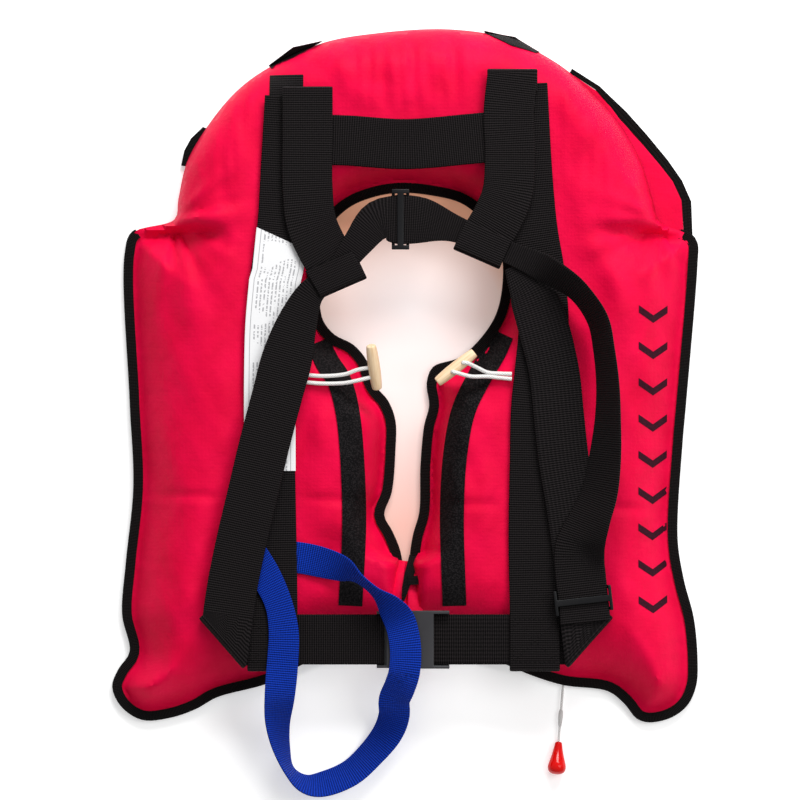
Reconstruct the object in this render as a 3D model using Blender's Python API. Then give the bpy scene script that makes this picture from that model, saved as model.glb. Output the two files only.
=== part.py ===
"""Inflatable life jacket, lying flat with its harness side up.

X runs across the jacket to the right, Y up towards the collar and Z up from the table, in metres.
The outer cover rests on Z = 0, and the origin is below the middle of the jacket.
Lists of points are in millimetres, because webbing and covers are cut to whole millimetres.
"""

import math

import bmesh
import bpy
from mathutils import Matrix, Vector
from mathutils.geometry import delaunay_2d_cdt

MM = 0.001

# Cloth and webbing
FABRIC = 0.0012
WEBBING_WIDTH = 0.040
WEBBING = 0.0016
BLUE_WIDTH = 0.025
TAPE_WIDTH = 0.019
TAPE = 0.0006
BINDING_WIDTH = 0.008
LABEL = 0.00025
GAP = 0.0003

# The packed cover: a thin rim, a ramp and a flat top over the folded bladder
RIM_TOP = 0.0056
COVER_TOP = 0.040
RAMP = 0.026
WING_FOLD = 0.182
WING_TOP = 0.125
BINDING_BOTTOM = 0.0004
BINDING_TOP = 0.0062
GRID = 0.0125
OUTLINE_STEP = 0.013
SHARPEST_MITRE = 0.5

# Layers of webbing on the cover, counted from its flat top
FIRST_LAYER = COVER_TOP + 0.0005
LAYER_PITCH = 0.0024
RETURN_LAYER = -1
BELT_LAYER = 0
LOBE_LAYER = 1
UNDER_LAYER = 2
SHOULDER_LAYER = 3
BACK_LAYER = 4
FLAP_LAYER = 5
FOLD_BULGE = 0.0012

BELT_Y = -0.2104
BELT_TOP = BELT_Y + WEBBING_WIDTH / 2
BELT_BOTTOM = BELT_Y - WEBBING_WIDTH / 2

# Inflator and bladder
BLADDER_BOTTOM = 0.0085
BLADDER_TOP = 0.0362
CYLINDER_X = 0.132
CYLINDER_Z = 0.0185
ORAL_TUBE_X = -0.126
ORAL_TUBE_Z = 0.0180
LEVER_BOTTOM = 0.0019
LEVER_TOP = 0.0054
LEVER_PIVOT = (148.0, -190.0)
LEVER_TIP = (132.7, -177.1)
PULL_CORD = 0.0020
PULL_CORD_HEIGHT = 2.9
PULL_CORD_START = (132.0, -183.2)
PULL_CORD_END = (123.2, -294.4)
TOGGLE_CORD = 0.0032
TOGGLE_HEIGHT = 47.2
ADJUSTER_LEAN = 6.5

OUTER_EDGE = [
    (-3, -221), (-60, -224), (-84, -233), (-109, -247), (-152, -259), (-168, -268), (-188, -275),
    (-212, -277), (-229, -266), (-236, -250), (-231, -236), (-222, -222), (-228, -192), (-225, -150),
    (-219, -89), (-222, -20), (-226, 98), (-220, 116), (-186, 126), (-183, 142), (-176, 172),
    (-160, 200), (-136, 229), (-110, 248), (-66, 268), (-20, 276), (28, 279), (63, 276), (88, 271),
    (108, 260), (131, 245), (166, 211), (188, 176), (199, 142), (204, 124), (228, 114), (235, 96),
    (226, -20), (223, -54), (219, -131), (224, -164), (232, -195), (235, -228), (234, -249),
    (227, -265), (214, -275), (196, -279), (186, -276), (176, -264), (163, -254), (127, -249),
    (101, -241), (77, -231), (52, -224), (3, -221),
]

NECK_EDGE = [
    (3, -221), (3, -150), (6, -128), (11, -110), (12, -72), (15, -40), (19, -24), (17, -6), (22, 7),
    (44, 15), (62, 32), (73, 50), (78, 74), (77, 98), (69, 115), (59, 128), (44, 139), (20, 145),
    (-4, 147), (-24, 144), (-44, 136), (-59, 122), (-68, 103), (-71, 80), (-69, 58), (-66, 44),
    (-57, 33), (-42, 25), (-31, 12), (-24, -8), (-14, -20), (-8, -36), (-8, -60), (-11, -94),
    (-17, -112), (-10, -126), (-3, -146), (-3, -221),
]

BLADDER_EDGE = [
    (-48, -184), (-132, -206), (-146, -196), (-144, -60), (-147, 60), (-144, 132), (-124, 178),
    (-86, 216), (-20, 236), (30, 238), (84, 222), (130, 182), (146, 132), (147, 60), (145, -60),
    (146, -196), (132, -204), (46, -186), (50, -100), (57, -20), (84, 0), (112, 34), (117, 84),
    (106, 128), (70, 168), (20, 184), (-24, 182), (-74, 162), (-104, 120), (-110, 70), (-98, 14),
    (-64, -18), (-50, -60), (-52, -120),
]

# name: (base colour, roughness, metallic)
FINISHES = {
    "red_nylon": ((0.72, 0.010, 0.045), 0.55, 0.0),
    "black_webbing": ((0.012, 0.012, 0.013), 0.75, 0.0),
    "black_binding": ((0.010, 0.010, 0.011), 0.80, 0.0),
    "blue_webbing": ((0.015, 0.075, 0.52), 0.70, 0.0),
    "white_label": ((0.85, 0.85, 0.86), 0.60, 0.0),
    "bladder_cloth": ((0.85, 0.62, 0.05), 0.50, 0.0),
    "dark_plastic": ((0.035, 0.036, 0.040), 0.45, 0.0),
    "wood": ((0.72, 0.48, 0.24), 0.60, 0.0),
    "white_cord": ((0.82, 0.81, 0.80), 0.85, 0.0),
    "red_plastic": ((0.75, 0.012, 0.010), 0.25, 0.0),
    "cylinder_steel": ((0.55, 0.57, 0.58), 0.30, 1.0),
    "brass": ((0.72, 0.52, 0.22), 0.30, 1.0),
    "reflective_tape": ((0.62, 0.64, 0.66), 0.25, 0.3),
}


def clear_scene():
    for old in list(bpy.data.objects):
        bpy.data.objects.remove(old, do_unlink=True)


def finish_material(name):
    if name in bpy.data.materials:
        return bpy.data.materials[name]
    colour, roughness, metallic = FINISHES[name]
    material = bpy.data.materials.new(name)
    material.use_nodes = True
    shader = material.node_tree.nodes["Principled BSDF"]
    shader.inputs["Base Color"].default_value = (*colour, 1.0)
    shader.inputs["Roughness"].default_value = roughness
    shader.inputs["Metallic"].default_value = metallic
    return material


def add_object(name, build, finish):
    """Turns a bmesh into a named object with its material."""
    bmesh.ops.recalc_face_normals(build, faces=build.faces)
    if build.calc_volume(signed=True) < 0:
        bmesh.ops.reverse_faces(build, faces=build.faces)
    mesh = bpy.data.meshes.new(name)
    build.to_mesh(mesh)
    build.free()
    made = bpy.data.objects.new(name, mesh)
    bpy.context.scene.collection.objects.link(made)
    mesh.materials.append(finish_material(finish))
    return made


def in_metres(points):
    return [Vector(point) * MM for point in points]


def smooth_line(points, step):
    """Points about a step apart on a centripetal Catmull-Rom curve through the given ones."""
    points = [Vector(point) for point in points]
    ring = [2 * points[0] - points[1], *points, 2 * points[-1] - points[-2]]
    line = []
    for before, start, end, after in zip(ring, ring[1:], ring[2:], ring[3:]):
        knots = [0.0]
        for first, second in ((before, start), (start, end), (end, after)):
            knots.append(knots[-1] + math.sqrt((second - first).length))
        count = max(1, round((end - start).length / step))
        for index in range(count):
            at = knots[1] + (knots[2] - knots[1]) * index / count
            line.append(catmull_rom((before, start, end, after), knots, at))
    line.append(points[-1])
    return line


def catmull_rom(points, knots, at):
    """One point of a Catmull-Rom span, by repeated interpolation between its knots."""
    level = list(points)
    for reach in (1, 2):
        level = [
            first.lerp(second, (at - low) / (high - low))
            for first, second, low, high in zip(level, level[1:], knots, knots[reach:])
        ]
    return level[0].lerp(level[1], (at - knots[1]) / (knots[2] - knots[1]))


def side_vectors(line, closed=False):
    """Vectors to the left of a flat line at its points, long enough to keep an offset even at corners."""
    runs = [
        (after - before).to_2d().normalized()
        for before, after in zip(line, line[1:] + line[:1])
    ]
    if not closed:
        runs[-1] = runs[-2]
    sides = []
    for index, run in enumerate(runs):
        before = runs[index - 1] if closed or index else run
        left = Vector((-run.y, run.x))
        mean = (left + Vector((-before.y, before.x))).normalized()
        sides.append(mean / max(mean.dot(left), SHARPEST_MITRE))
    return sides


def move_sideways(line, distance, closed=False):
    return [
        point.to_2d() + side * distance for point, side in zip(line, side_vectors(line, closed))
    ]


def edge_distance(point, outline):
    """The distance from a point to a closed outline, negative outside it."""
    nearest = math.inf
    inside = False
    for start, end in zip(outline, outline[1:] + outline[:1]):
        run = end - start
        share = max(0.0, min(1.0, (point - start).dot(run) / run.length_squared))
        nearest = min(nearest, (start + run * share - point).length)
        if (start.y > point.y) != (end.y > point.y):
            crossing = start.x + (point.y - start.y) / (end.y - start.y) * run.x
            inside ^= point.x < crossing
    return nearest if inside else -nearest


def jacket_edges():
    """The outer edge and the neck edge, both with the jacket on their right-hand side."""
    return [smooth_line(in_metres(edge), OUTLINE_STEP) for edge in (OUTER_EDGE, NECK_EDGE)]


def panel_outline():
    """The line that both cover panels are cut to: inside the binding all the way round."""
    outer, neck = jacket_edges()
    whole = outer[:-1] + neck[:-1]
    return move_sideways(whole, -(BINDING_WIDTH + GAP), closed=True)


def cover_height(point, outline):
    """The top of the packed cover: a thin rim and wings, and a ramp up to the flat top."""
    rise = edge_distance(point, outline)
    if point.y < WING_TOP:
        rise = min(rise, WING_FOLD - abs(point.x))
    share = max(0.0, min(1.0, rise / RAMP))
    return RIM_TOP + (COVER_TOP - RIM_TOP) * share * share * (3 - 2 * share)


def grid_points(outline):
    """A staggered grid over the parts of the cover that slope."""
    points = []
    row_height = GRID * math.sqrt(3) / 2
    low = min(point.y for point in outline)
    rows = int((max(point.y for point in outline) - low) / row_height)
    for row in range(1, rows + 1):
        y = low + row * row_height
        for column in range(-20, 21):
            point = Vector((column * GRID + (row % 2) * GRID / 2, y))
            clear = edge_distance(point, outline)
            rise = min(clear, WING_FOLD - abs(point.x)) if y < WING_TOP else clear
            if clear > GRID * 0.45 and -GRID < rise < RAMP + GRID:
                points.append(point)
    return points


def cloth_panel(name, finish, outline, inner, height_of, thickness):
    """A sheet cut to a flat outline and raised to its height at every point, thick downwards."""
    corners = list(outline) + list(inner)
    count = len(outline)
    edges = [(index, (index + 1) % count) for index in range(count)]
    flat, _, faces, *_ = delaunay_2d_cdt(corners, edges, [], 1, 1e-7)
    build = bmesh.new()
    points = [build.verts.new((point.x, point.y, height_of(point))) for point in flat]
    for face in faces:
        build.faces.new([points[index] for index in face])
    bmesh.ops.recalc_face_normals(build, faces=build.faces)
    if sum(face.normal.z for face in build.faces) < 0:
        bmesh.ops.reverse_faces(build, faces=build.faces)
    under = {
        point: build.verts.new(point.co - Vector((0.0, 0.0, thickness))) for point in points
    }
    rim = [edge for edge in build.edges if edge.is_boundary]
    for face in list(build.faces):
        build.faces.new([under[point] for point in reversed(face.verts)])
    for edge in rim:
        first, second = edge.verts
        build.faces.new((first, second, under[second], under[first]))
    return add_object(name, build, finish)


def ribbon(name, finish, stations, thickness):
    """A strip of webbing or tape: each station is its left edge, its right edge and its face normal."""
    build = bmesh.new()
    rings = []
    for left, right, normal in stations:
        lift = Vector(normal) * thickness / 2
        corners = (left + lift, right + lift, right - lift, left - lift)
        rings.append([build.verts.new(corner) for corner in corners])
    for first, second in zip(rings, rings[1:]):
        for side in range(4):
            following = (side + 1) % 4
            build.faces.new((first[side], first[following], second[following], second[side]))
    build.faces.new(rings[0][::-1])
    build.faces.new(rings[-1])
    return add_object(name, build, finish)


def layer_height(layer):
    """The middle of a webbing layer."""
    return FIRST_LAYER + layer * LAYER_PITCH + WEBBING / 2


def on_layer(points, layer, width=WEBBING_WIDTH):
    """Route rows on one layer, from (x, y), (x, y, width) or (x, y, width, tilt)."""
    rows = []
    for x, y, *rest in points:
        own_width, tilt = (rest + [width / MM, 0][len(rest):])[:2]
        rows.append((x, y, layer_height(layer) / MM, own_width, tilt))
    return rows


def strap_stations(rows, step=0.022):
    """Stations along a smooth route of (x, y, height, width, tilt) rows, in millimetres and degrees.

    The tilt stands the strap on its right-hand edge, which stays at the given height.
    """
    line = smooth_line(in_metres(rows), step)
    stations = []
    for row, side in zip(line, side_vectors(line)):
        side.normalize()
        width = row[3]
        tilt = math.radians(row[4] / MM)
        across = Vector((side.x * math.cos(tilt), side.y * math.cos(tilt), math.sin(tilt)))
        normal = Vector((-side.x * math.sin(tilt), -side.y * math.sin(tilt), math.cos(tilt)))
        middle = Vector((row[0], row[1], row[2] + width / 2 * math.sin(tilt)))
        stations.append((middle + across * width / 2, middle - across * width / 2, normal))
    return stations


def fold_stations(left, right, layer_before, layer_after, outward, facing=1):
    """The turn of a strap about the crease from left to right (millimetres), from layer to layer."""
    left, right = in_metres((left, right))
    outward = Vector((*outward, 0.0)).normalized()
    up = Vector((0.0, 0.0, facing))
    before, after = layer_height(layer_before), layer_height(layer_after)
    middle = (before + after) / 2
    bulge = outward * FOLD_BULGE
    return [
        (at_height(left, before), at_height(right, before), up),
        (at_height(left, middle) + bulge, at_height(right, middle) + bulge, outward),
        (at_height(left, after), at_height(right, after), -up),
    ]


def at_height(point, height):
    return Vector((point[0], point[1], height))


def edge_stations(pairs, height, facing=1):
    """Stations given directly by their left and right edge points, in millimetres."""
    up = Vector((0.0, 0.0, facing))
    stations = []
    for pair in pairs:
        left, right = in_metres(pair)
        stations.append((at_height(left, height), at_height(right, height), up))
    return stations


def block(name, low, high, finish, place=None):
    """A box between two corners, in the frame of its place when it has one."""
    build = bmesh.new()
    bmesh.ops.create_cube(build, size=1.0)
    low, high = Vector(low), Vector(high)
    for vert in build.verts:
        vert.co = Vector(
            (low[axis] + (vert.co[axis] + 0.5) * (high[axis] - low[axis]) for axis in range(3))
        )
    made = add_object(name, build, finish)
    if place is not None:
        made.matrix_world = place
    return made


def shape_with(target, tool, operation):
    tool.parent = target
    tool.hide_render = True
    tool.display_type = "WIRE"
    change = target.modifiers.new(tool.name, "BOOLEAN")
    change.object = tool
    change.operation = operation
    change.solver = "EXACT"


def carve(target, low, high):
    tool = block(f"{target.name}_cutter_{len(target.modifiers)}", low, high, "dark_plastic")
    shape_with(target, tool, "DIFFERENCE")


def extend(target, low, high):
    tool = block(f"{target.name}_addition_{len(target.modifiers)}", low, high, "dark_plastic")
    shape_with(target, tool, "UNION")


def prism(name, outline, low, high, finish):
    """An outline in millimetres, drawn between two heights in metres."""
    build = bmesh.new()
    base = build.faces.new([build.verts.new((x * MM, y * MM, low)) for x, y in outline])
    raised = bmesh.ops.extrude_face_region(build, geom=[base])["geom"]
    top = [item for item in raised if isinstance(item, bmesh.types.BMVert)]
    bmesh.ops.translate(build, verts=top, vec=(0.0, 0.0, high - low))
    return add_object(name, build, finish)


def turned(name, profile, base, direction, finish, sides=20):
    """A solid of revolution: (distance along the axis, radius) pairs in millimetres from its base."""
    build = bmesh.new()
    turn = Vector((0.0, 0.0, 1.0)).rotation_difference(Vector(direction)).to_matrix()
    rings = []
    for along, radius in profile:
        if radius == 0:
            rings.append([build.verts.new(Vector(base) + turn @ Vector((0, 0, along * MM)))])
            continue
        ring = []
        for side in range(sides):
            angle = 2 * math.pi * side / sides
            offset = Vector((radius * math.cos(angle), radius * math.sin(angle), along)) * MM
            ring.append(build.verts.new(Vector(base) + turn @ offset))
        rings.append(ring)
    for first, second in zip(rings, rings[1:]):
        for side in range(sides):
            following = (side + 1) % sides
            corners = {
                first[side % len(first)]: None,
                first[following % len(first)]: None,
                second[following % len(second)]: None,
                second[side % len(second)]: None,
            }
            build.faces.new(list(corners))
    for ring in (rings[0], rings[-1]):
        if len(ring) > 1:
            build.faces.new(ring)
    made = add_object(name, build, finish)
    made.data.shade_smooth()
    made.data.set_sharp_from_angle(angle=math.radians(35))
    return made


def cord(name, points, diameter, finish, step):
    """A round cord through the given points in millimetres, closed at both ends."""
    curve = bpy.data.curves.new(name, "CURVE")
    curve.dimensions = "3D"
    curve.bevel_depth = diameter / 2
    curve.bevel_resolution = 2
    curve.use_fill_caps = True
    line = smooth_line(in_metres(points), step)
    spline = curve.splines.new("POLY")
    spline.points.add(len(line) - 1)
    for target, point in zip(spline.points, line):
        target.co = (*point, 1.0)
    made = bpy.data.objects.new(name, curve)
    bpy.context.scene.collection.objects.link(made)
    curve.materials.append(finish_material(finish))
    return made


def make_covers():
    outline = panel_outline()
    cloth_panel(
        "inner_cover", "red_nylon", outline, grid_points(outline),
        lambda point: cover_height(point, outline), FABRIC,
    )
    cloth_panel("outer_cover", "red_nylon", outline, [], lambda point: FABRIC, FABRIC)


def make_binding(name, line):
    """The folded tape round the edges of both covers, on the right-hand side of its line."""
    middle = (BINDING_BOTTOM + BINDING_TOP) / 2
    up = Vector((0.0, 0.0, 1.0))
    stations = [
        (at_height(outside, middle), at_height(inside, middle), up)
        for outside, inside in zip(line, move_sideways(line, -BINDING_WIDTH))
    ]
    return ribbon(name, "black_binding", stations, BINDING_TOP - BINDING_BOTTOM)


def make_bindings():
    outer, neck = jacket_edges()
    edge = make_binding("outer_binding", outer)
    exit_x = 0.1269
    tunnel_half_width = 0.0026
    carve(edge, (exit_x - tunnel_half_width, -0.262, 0.0013), (exit_x + tunnel_half_width, -0.236, 0.0044))
    lowest = neck[0].y + BINDING_WIDTH + GAP
    make_binding("neck_binding", [point for point in neck if point.y > lowest])


def make_bladder():
    outline = in_metres(BLADDER_EDGE)
    bladder = cloth_panel(
        "bladder", "bladder_cloth", outline, [], lambda point: BLADDER_TOP,
        BLADDER_TOP - BLADDER_BOTTOM,
    )
    pocket_roof = 0.0335
    carve(bladder, (0.113, -0.220, 0.0), (0.153, -0.034, pocket_roof))
    carve(bladder, (-0.142, -0.220, 0.0), (-0.111, -0.066, pocket_roof))
    carve(bladder, (-0.100, -0.186, 0.0), (-0.078, -0.130, pocket_roof))


def make_front_flaps():
    """The edges of the front cover that show beyond the collar."""
    panel_pairs = [
        ((172, 205), (168, 210)), ((188, 188), (180.5, 194)), ((203.5, 170), (190.5, 178)),
        ((214.5, 156), (198.5, 157)), ((221.5, 141), (203, 143)), ((220.5, 120), (208, 126.5)),
    ]
    ribbon("front_flap_right", "red_nylon", edge_stations(panel_pairs, FABRIC / 2), FABRIC)
    binding_pairs = [
        ((156, 233), (152.5, 230.5)), ((178, 212), (172.5, 206)), ((194.5, 193.5), (188.6, 188.4)),
        ((211, 173.5), (204, 170)), ((222.5, 157), (215, 156)), ((230, 140), (222, 141)),
        ((229, 119), (221, 120)),
    ]
    flap_binding = 0.0028
    ribbon(
        "front_flap_binding_right", "black_binding",
        edge_stations(binding_pairs, flap_binding / 2 + GAP), flap_binding,
    )
    left_pairs = [
        ((-184.5, 158), (-181.5, 157)), ((-183, 176), (-177.2, 173.5)), ((-177, 191.5), (-169.8, 188)),
        ((-166, 205), (-162, 202.5)),
    ]
    ribbon(
        "front_flap_binding_left", "black_binding",
        edge_stations(left_pairs, flap_binding / 2 + GAP), flap_binding,
    )


def make_patch(name, finish, corners, lift):
    """A small sewn patch that follows the slope of the cover."""
    outline = panel_outline()
    cloth_panel(
        name, finish, in_metres(corners), [],
        lambda point: cover_height(point, outline) + lift + TAPE, TAPE,
    )


def make_patches():
    left_tab = [(-110, 248), (-90, 255), (-66, 269), (-102, 255)]
    make_patch("collar_tab_left", "black_binding", left_tab, 0.0014)
    make_patch("collar_tab_right", "black_binding", [(63, 277), (86, 264), (108, 259), (88, 273)], 0.0014)
    make_patch("strap_patch", "black_webbing", [(-108, 227), (-82, 227), (-82, 240), (-108, 240)], 0.0024)


def make_hook_tapes():
    """The hook-and-loop tapes that close the front covers, seen down each lobe."""
    height = (COVER_TOP + GAP + TAPE / 2) / MM
    routes = {
        "hook_tape_left": [
            (-69, 23), (-63, 10), (-57, -4), (-53, -18), (-47, -45), (-43, -74), (-41, -124), (-44, -184),
        ],
        "hook_tape_right": [
            (69, 23), (61, 8), (54, -8), (49, -22), (41, -54), (38, -98), (36, -127), (39, -184),
        ],
    }
    for name, route in routes.items():
        rows = [(x, y, height, TAPE_WIDTH / MM, 0) for x, y in route]
        ribbon(name, "black_binding", strap_stations(rows), TAPE)


def make_lobe_strap(name, route):
    """The strap down one lobe: its lower end turns under the belt and is sewn behind it."""
    crease = -233
    x = route[-1][0]
    left, right = (x + WEBBING_WIDTH / 2 / MM, crease), (x - WEBBING_WIDTH / 2 / MM, crease)
    stations = strap_stations(on_layer(route, LOBE_LAYER))
    stations += fold_stations(left, right, LOBE_LAYER, RETURN_LAYER, (0, -1))
    sewn_end = -221
    end = ((left[0], sewn_end), (right[0], sewn_end))
    stations += edge_stations([end], layer_height(RETURN_LAYER), facing=-1)
    ribbon(name, "black_webbing", stations, WEBBING)


LOBE_ROUTE_LEFT = [
    (-92, 222), (-95, 170), (-98, 120), (-104, 75), (-107, 40), (-108, 0), (-108, -60), (-107, -120),
    (-106, -180), (-106, -222),
]
LOBE_ROUTE_RIGHT = [
    (93, 232), (97, 160), (101, 117), (107, 80), (110, 40), (107, 4), (104, -26), (103, -68),
    (102, -130), (103, -190), (103, -222),
]


def make_label():
    """The care label on the left lobe strap."""
    height = layer_height(LOBE_LAYER) + WEBBING / 2 + GAP + LABEL / 2
    route = [(-99, 112), *LOBE_ROUTE_LEFT[3:6], (-108, -76)]
    rows = [(x, y, height / MM, 41, 0) for x, y in route]
    ribbon("care_label", "white_label", strap_stations(rows), LABEL)


def make_shoulder_strap(name, top, route, crease, flap_end, outward):
    """Sewn under its top fold, down to a loop that the back strap runs through, with a sewn flap."""
    x, y = top
    left, right = (x + WEBBING_WIDTH / 2 / MM, y), (x - WEBBING_WIDTH / 2 / MM, y)
    sewn_end = y - 16
    under = ((left[0], sewn_end), (right[0], sewn_end))
    stations = edge_stations([under], layer_height(UNDER_LAYER), facing=-1)
    stations += fold_stations(left, right, UNDER_LAYER, SHOULDER_LAYER, (0, 1), facing=-1)
    stations += strap_stations(on_layer(route, SHOULDER_LAYER))
    stations += fold_stations(*crease, SHOULDER_LAYER, FLAP_LAYER, outward)
    stations += edge_stations([flap_end], layer_height(FLAP_LAYER), facing=-1)
    ribbon(name, "black_webbing", stations, WEBBING)


def make_shoulder_straps():
    make_shoulder_strap(
        "shoulder_strap_left", (-78, 228),
        [(-78, 224), (-78, 190), (-78, 150), (-75, 122), (-66, 101), (-56, 85)],
        ((-31.6, 79.6), (-68.4, 63.6)), ((-42.8, 98.8), (-79.6, 82.8)), (0.385, -0.923),
    )
    make_shoulder_strap(
        "shoulder_strap_right", (85, 242),
        [(85, 238), (82, 208), (83, 176), (81, 145), (73, 125), (63, 108)],
        ((75.6, 86.8), (38.8, 102.8)), ((84.4, 107), (47.6, 123)), (-0.4, -0.917),
    )


def make_collar_strap():
    route = [(-92, 188), (-48, 187), (0, 184), (50, 188), (92, 192)]
    ribbon("collar_strap", "black_webbing", strap_stations(on_layer(route, UNDER_LAYER)), WEBBING)


def belt_stations(start_x, end_x, left_y, right_y):
    pairs = [((x, left_y / MM), (x, right_y / MM)) for x in (start_x, end_x)]
    return edge_stations(pairs, layer_height(BELT_LAYER), facing=-1)


def turned_round(stations):
    return [(right, left, normal) for left, right, normal in reversed(stations)]


def make_back_strap():
    """One length of webbing: the left half of the belt, a folded corner, up the back, through the left
    loop, the neck slider and the right loop, and curving down on its edge to the adjuster.
    """
    left_route = [
        (-5, 124), (-22, 123, 32), (-38, 105, 24), (-56, 81, 18), (-75, 66, 22), (-86, 42, 32), (-94, 14),
        (-102, -16), (-112, -54), (-121, -92), (-130, -130), (-137, -164), (-141, -190),
    ]
    left = strap_stations(on_layer(left_route, BACK_LAYER))
    corner = ((-126, BELT_BOTTOM / MM), (-161, BELT_TOP / MM))
    left += fold_stations(*corner, BACK_LAYER, BELT_LAYER, (-0.75, -0.66))
    left += belt_stations(-104, -17, BELT_BOTTOM, BELT_TOP)
    right_route = [
        (-3, 124), (14, 123, 36), (38, 117, 22), (62, 107, 18), (86, 96, 18), (102, 89, 22, 20),
        (118, 80, 32, 52), (137, 66, 40, 68), (152, 44, 40, 68), (157, 20, 40, 68), (160, -8, 40, 66),
        (160, -36, 40, 62), (158, -64, 40, 54), (154, -92, 40, 48), (147, -112, 40, 40), (141, -128, 40, 25),
        (138.4, -138, 40, 10), (138.1, -147, 40, 2), (139.1, -160), (141.3, -179), (143, -196),
    ]
    right = strap_stations(on_layer(right_route, BACK_LAYER), 0.018)
    ribbon("back_strap", "black_webbing", turned_round(left) + right, WEBBING)


def make_right_waist_strap():
    """The wide strap down the right of the back and, past a folded corner, the right half of the belt."""
    route = [
        (89, 84, 20), (94, 76, 28), (100, 66, 36), (108, 44), (118, 4), (122, -32), (126, -68),
        (132, -104), (138, -148), (141.3, -179), (142.5, -190),
    ]
    stations = strap_stations(on_layer(route, SHOULDER_LAYER))
    corner = ((162.6, BELT_TOP / MM), (127, BELT_BOTTOM / MM))
    stations += fold_stations(*corner, SHOULDER_LAYER, BELT_LAYER, (0.75, -0.66))
    stations += belt_stations(104, 18, BELT_TOP, BELT_BOTTOM)
    ribbon("right_waist_strap", "black_webbing", stations, WEBBING)


def make_crotch_strap():
    """A loop of narrow webbing from the left lobe over the buckle, down to the table and back."""
    rows = [
        (-95, -144, 41.7), (-80, -146, 41.7), (-66, -149, 42.8, 25, 12), (-50, -154, 44, 25, 35),
        (-36, -162, 45, 25, 72), (-25, -171, 46.5, 25, 72), (-12, -184, 49, 25, 35), (-3, -200, 50),
        (0, -218, 50), (-1, -236, 49), (-4, -252, 41), (-8, -268, 26), (-14, -284, 11, 25, 15),
        (-26, -302, 3.5, 25, 30),
        (-44, -319, 2, 25, 35), (-66, -328, 2, 25, 40), (-82, -327, 2, 25, 60), (-93, -317, 3, 25, 74),
        (-99, -300, 9, 25, 60), (-102, -278, 24, 25, 40), (-100, -254, 44, 25, 15), (-98, -230, 46.3),
        (-97, -204, 46.3, 24, 0), (-101, -182, 46.3, 22, 0), (-111, -160, 46.3, 24, 0), (-125, -138, 46.3),
    ]
    full = [(*row, BLUE_WIDTH / MM, 0)[:5] for row in rows]
    ribbon("crotch_strap", "blue_webbing", strap_stations(full, 0.020), WEBBING)


def make_buckle():
    """Side-release buckle: a socket on the right, a plug on the left and the plug's two prongs."""
    middle = BELT_Y
    bottom, top = 0.0386, 0.0476
    above = top + 0.003
    channel = WEBBING_WIDTH / 2 + 2 * GAP
    webbing_floor, webbing_roof = 0.0402, 0.0424
    cavity_floor, cavity_roof = 0.0422, 0.0462
    prong_bottom, prong_top = 0.0427, 0.0458

    mouth, socket_end, socket_side = -0.0080, 0.0350, 0.0230
    socket = block(
        "buckle_socket", (mouth, middle - socket_side, bottom), (socket_end, middle + socket_side, top),
        "dark_plastic",
    )
    cavity, window = 0.0192, 0.030
    carve(socket, (mouth - 0.001, middle - cavity, cavity_floor), (0.0135, middle + cavity, cavity_roof))
    carve(socket, (0.0008, middle - window, cavity_floor), (0.0105, middle + window, cavity_roof))
    carve(socket, (0.0224, middle - channel, webbing_floor), (socket_end + 0.005, middle + channel, above))
    carve(socket, (0.0165, middle - channel, webbing_floor), (0.0230, middle + channel, webbing_roof))

    plug_end, plug_face, plug_side, bar = -0.0230, -0.0084, 0.0225, -0.0150
    plug = block(
        "buckle_plug", (plug_end, middle - plug_side, bottom), (plug_face, middle + plug_side, top - 0.0004),
        "dark_plastic",
    )
    outside = plug_end - 0.002
    carve(plug, (outside, middle - channel, webbing_floor), (0.0, middle + channel, webbing_roof))
    carve(plug, (outside, middle - channel, webbing_roof - 0.0005), (bar, middle + channel, above))
    tongue = 0.0042
    extend(
        plug, (plug_face - 0.003, middle - tongue, prong_bottom), (0.0105, middle + tongue, prong_top)
    )

    prong = [
        (-7.7, 11.0), (4.0, 13.2), (11.8, 13.5), (12.0, 16.0), (9.4, 19.8), (5.4, 22.2), (1.8, 21.8),
        (1.4, 16.4), (-7.7, 14.5),
    ]
    for name, direction in (("buckle_prong_upper", 1), ("buckle_prong_lower", -1)):
        outline = [(x, middle / MM + direction * y) for x, y in prong]
        prism(name, outline, prong_bottom, prong_top, "dark_plastic")


def make_web_slider(name, place, length, width, heights, window, finish="dark_plastic"):
    """A three-bar slider: two bars under the webbing and one over it.

    The heights are its bottom, the webbing channel's floor and roof, and its top.
    """
    bottom, floor, roof, top = heights
    channel = WEBBING_WIDTH / 2 + 2 * GAP
    slider = block(name, (-length / 2, -width / 2, bottom), (length / 2, width / 2, top), finish, place)
    carve(slider, (-channel, -width, floor), (channel, width, roof))
    over_bar = window / 2
    for direction in (-1, 1):
        ends = sorted((direction * over_bar, direction * width))
        carve(slider, (-channel, ends[0], roof - GAP), (channel, ends[1], top + 0.001))
    bar_end = width / 2 - over_bar
    carve(slider, (-channel, -bar_end, bottom - 0.001), (channel, bar_end, floor + GAP))
    return slider


def make_sliders():
    strap = layer_height(SHOULDER_LAYER) - WEBBING / 2
    tail = layer_height(BACK_LAYER) + WEBBING / 2
    adjuster_heights = (strap - 0.0022, strap - 0.0004, tail + 0.0004, tail + 0.0024)
    lean = Matrix.Rotation(math.radians(ADJUSTER_LEAN), 4, "Z")
    place = Matrix.Translation((0.1413, -0.1790, 0.0)) @ lean
    make_web_slider("strap_adjuster", place, 0.0460, 0.0200, adjuster_heights, 0.0050)

    neck = layer_height(BACK_LAYER)
    neck_heights = (neck - 0.0028, neck - 0.0011, neck + 0.0011, neck + 0.0028)
    across = Matrix.Rotation(math.radians(90), 4, "Z")
    place = Matrix.Translation((-0.0040, 0.1240, 0.0)) @ across
    make_web_slider("neck_slider", place, 0.0480, 0.0140, neck_heights, 0.0050)


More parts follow.
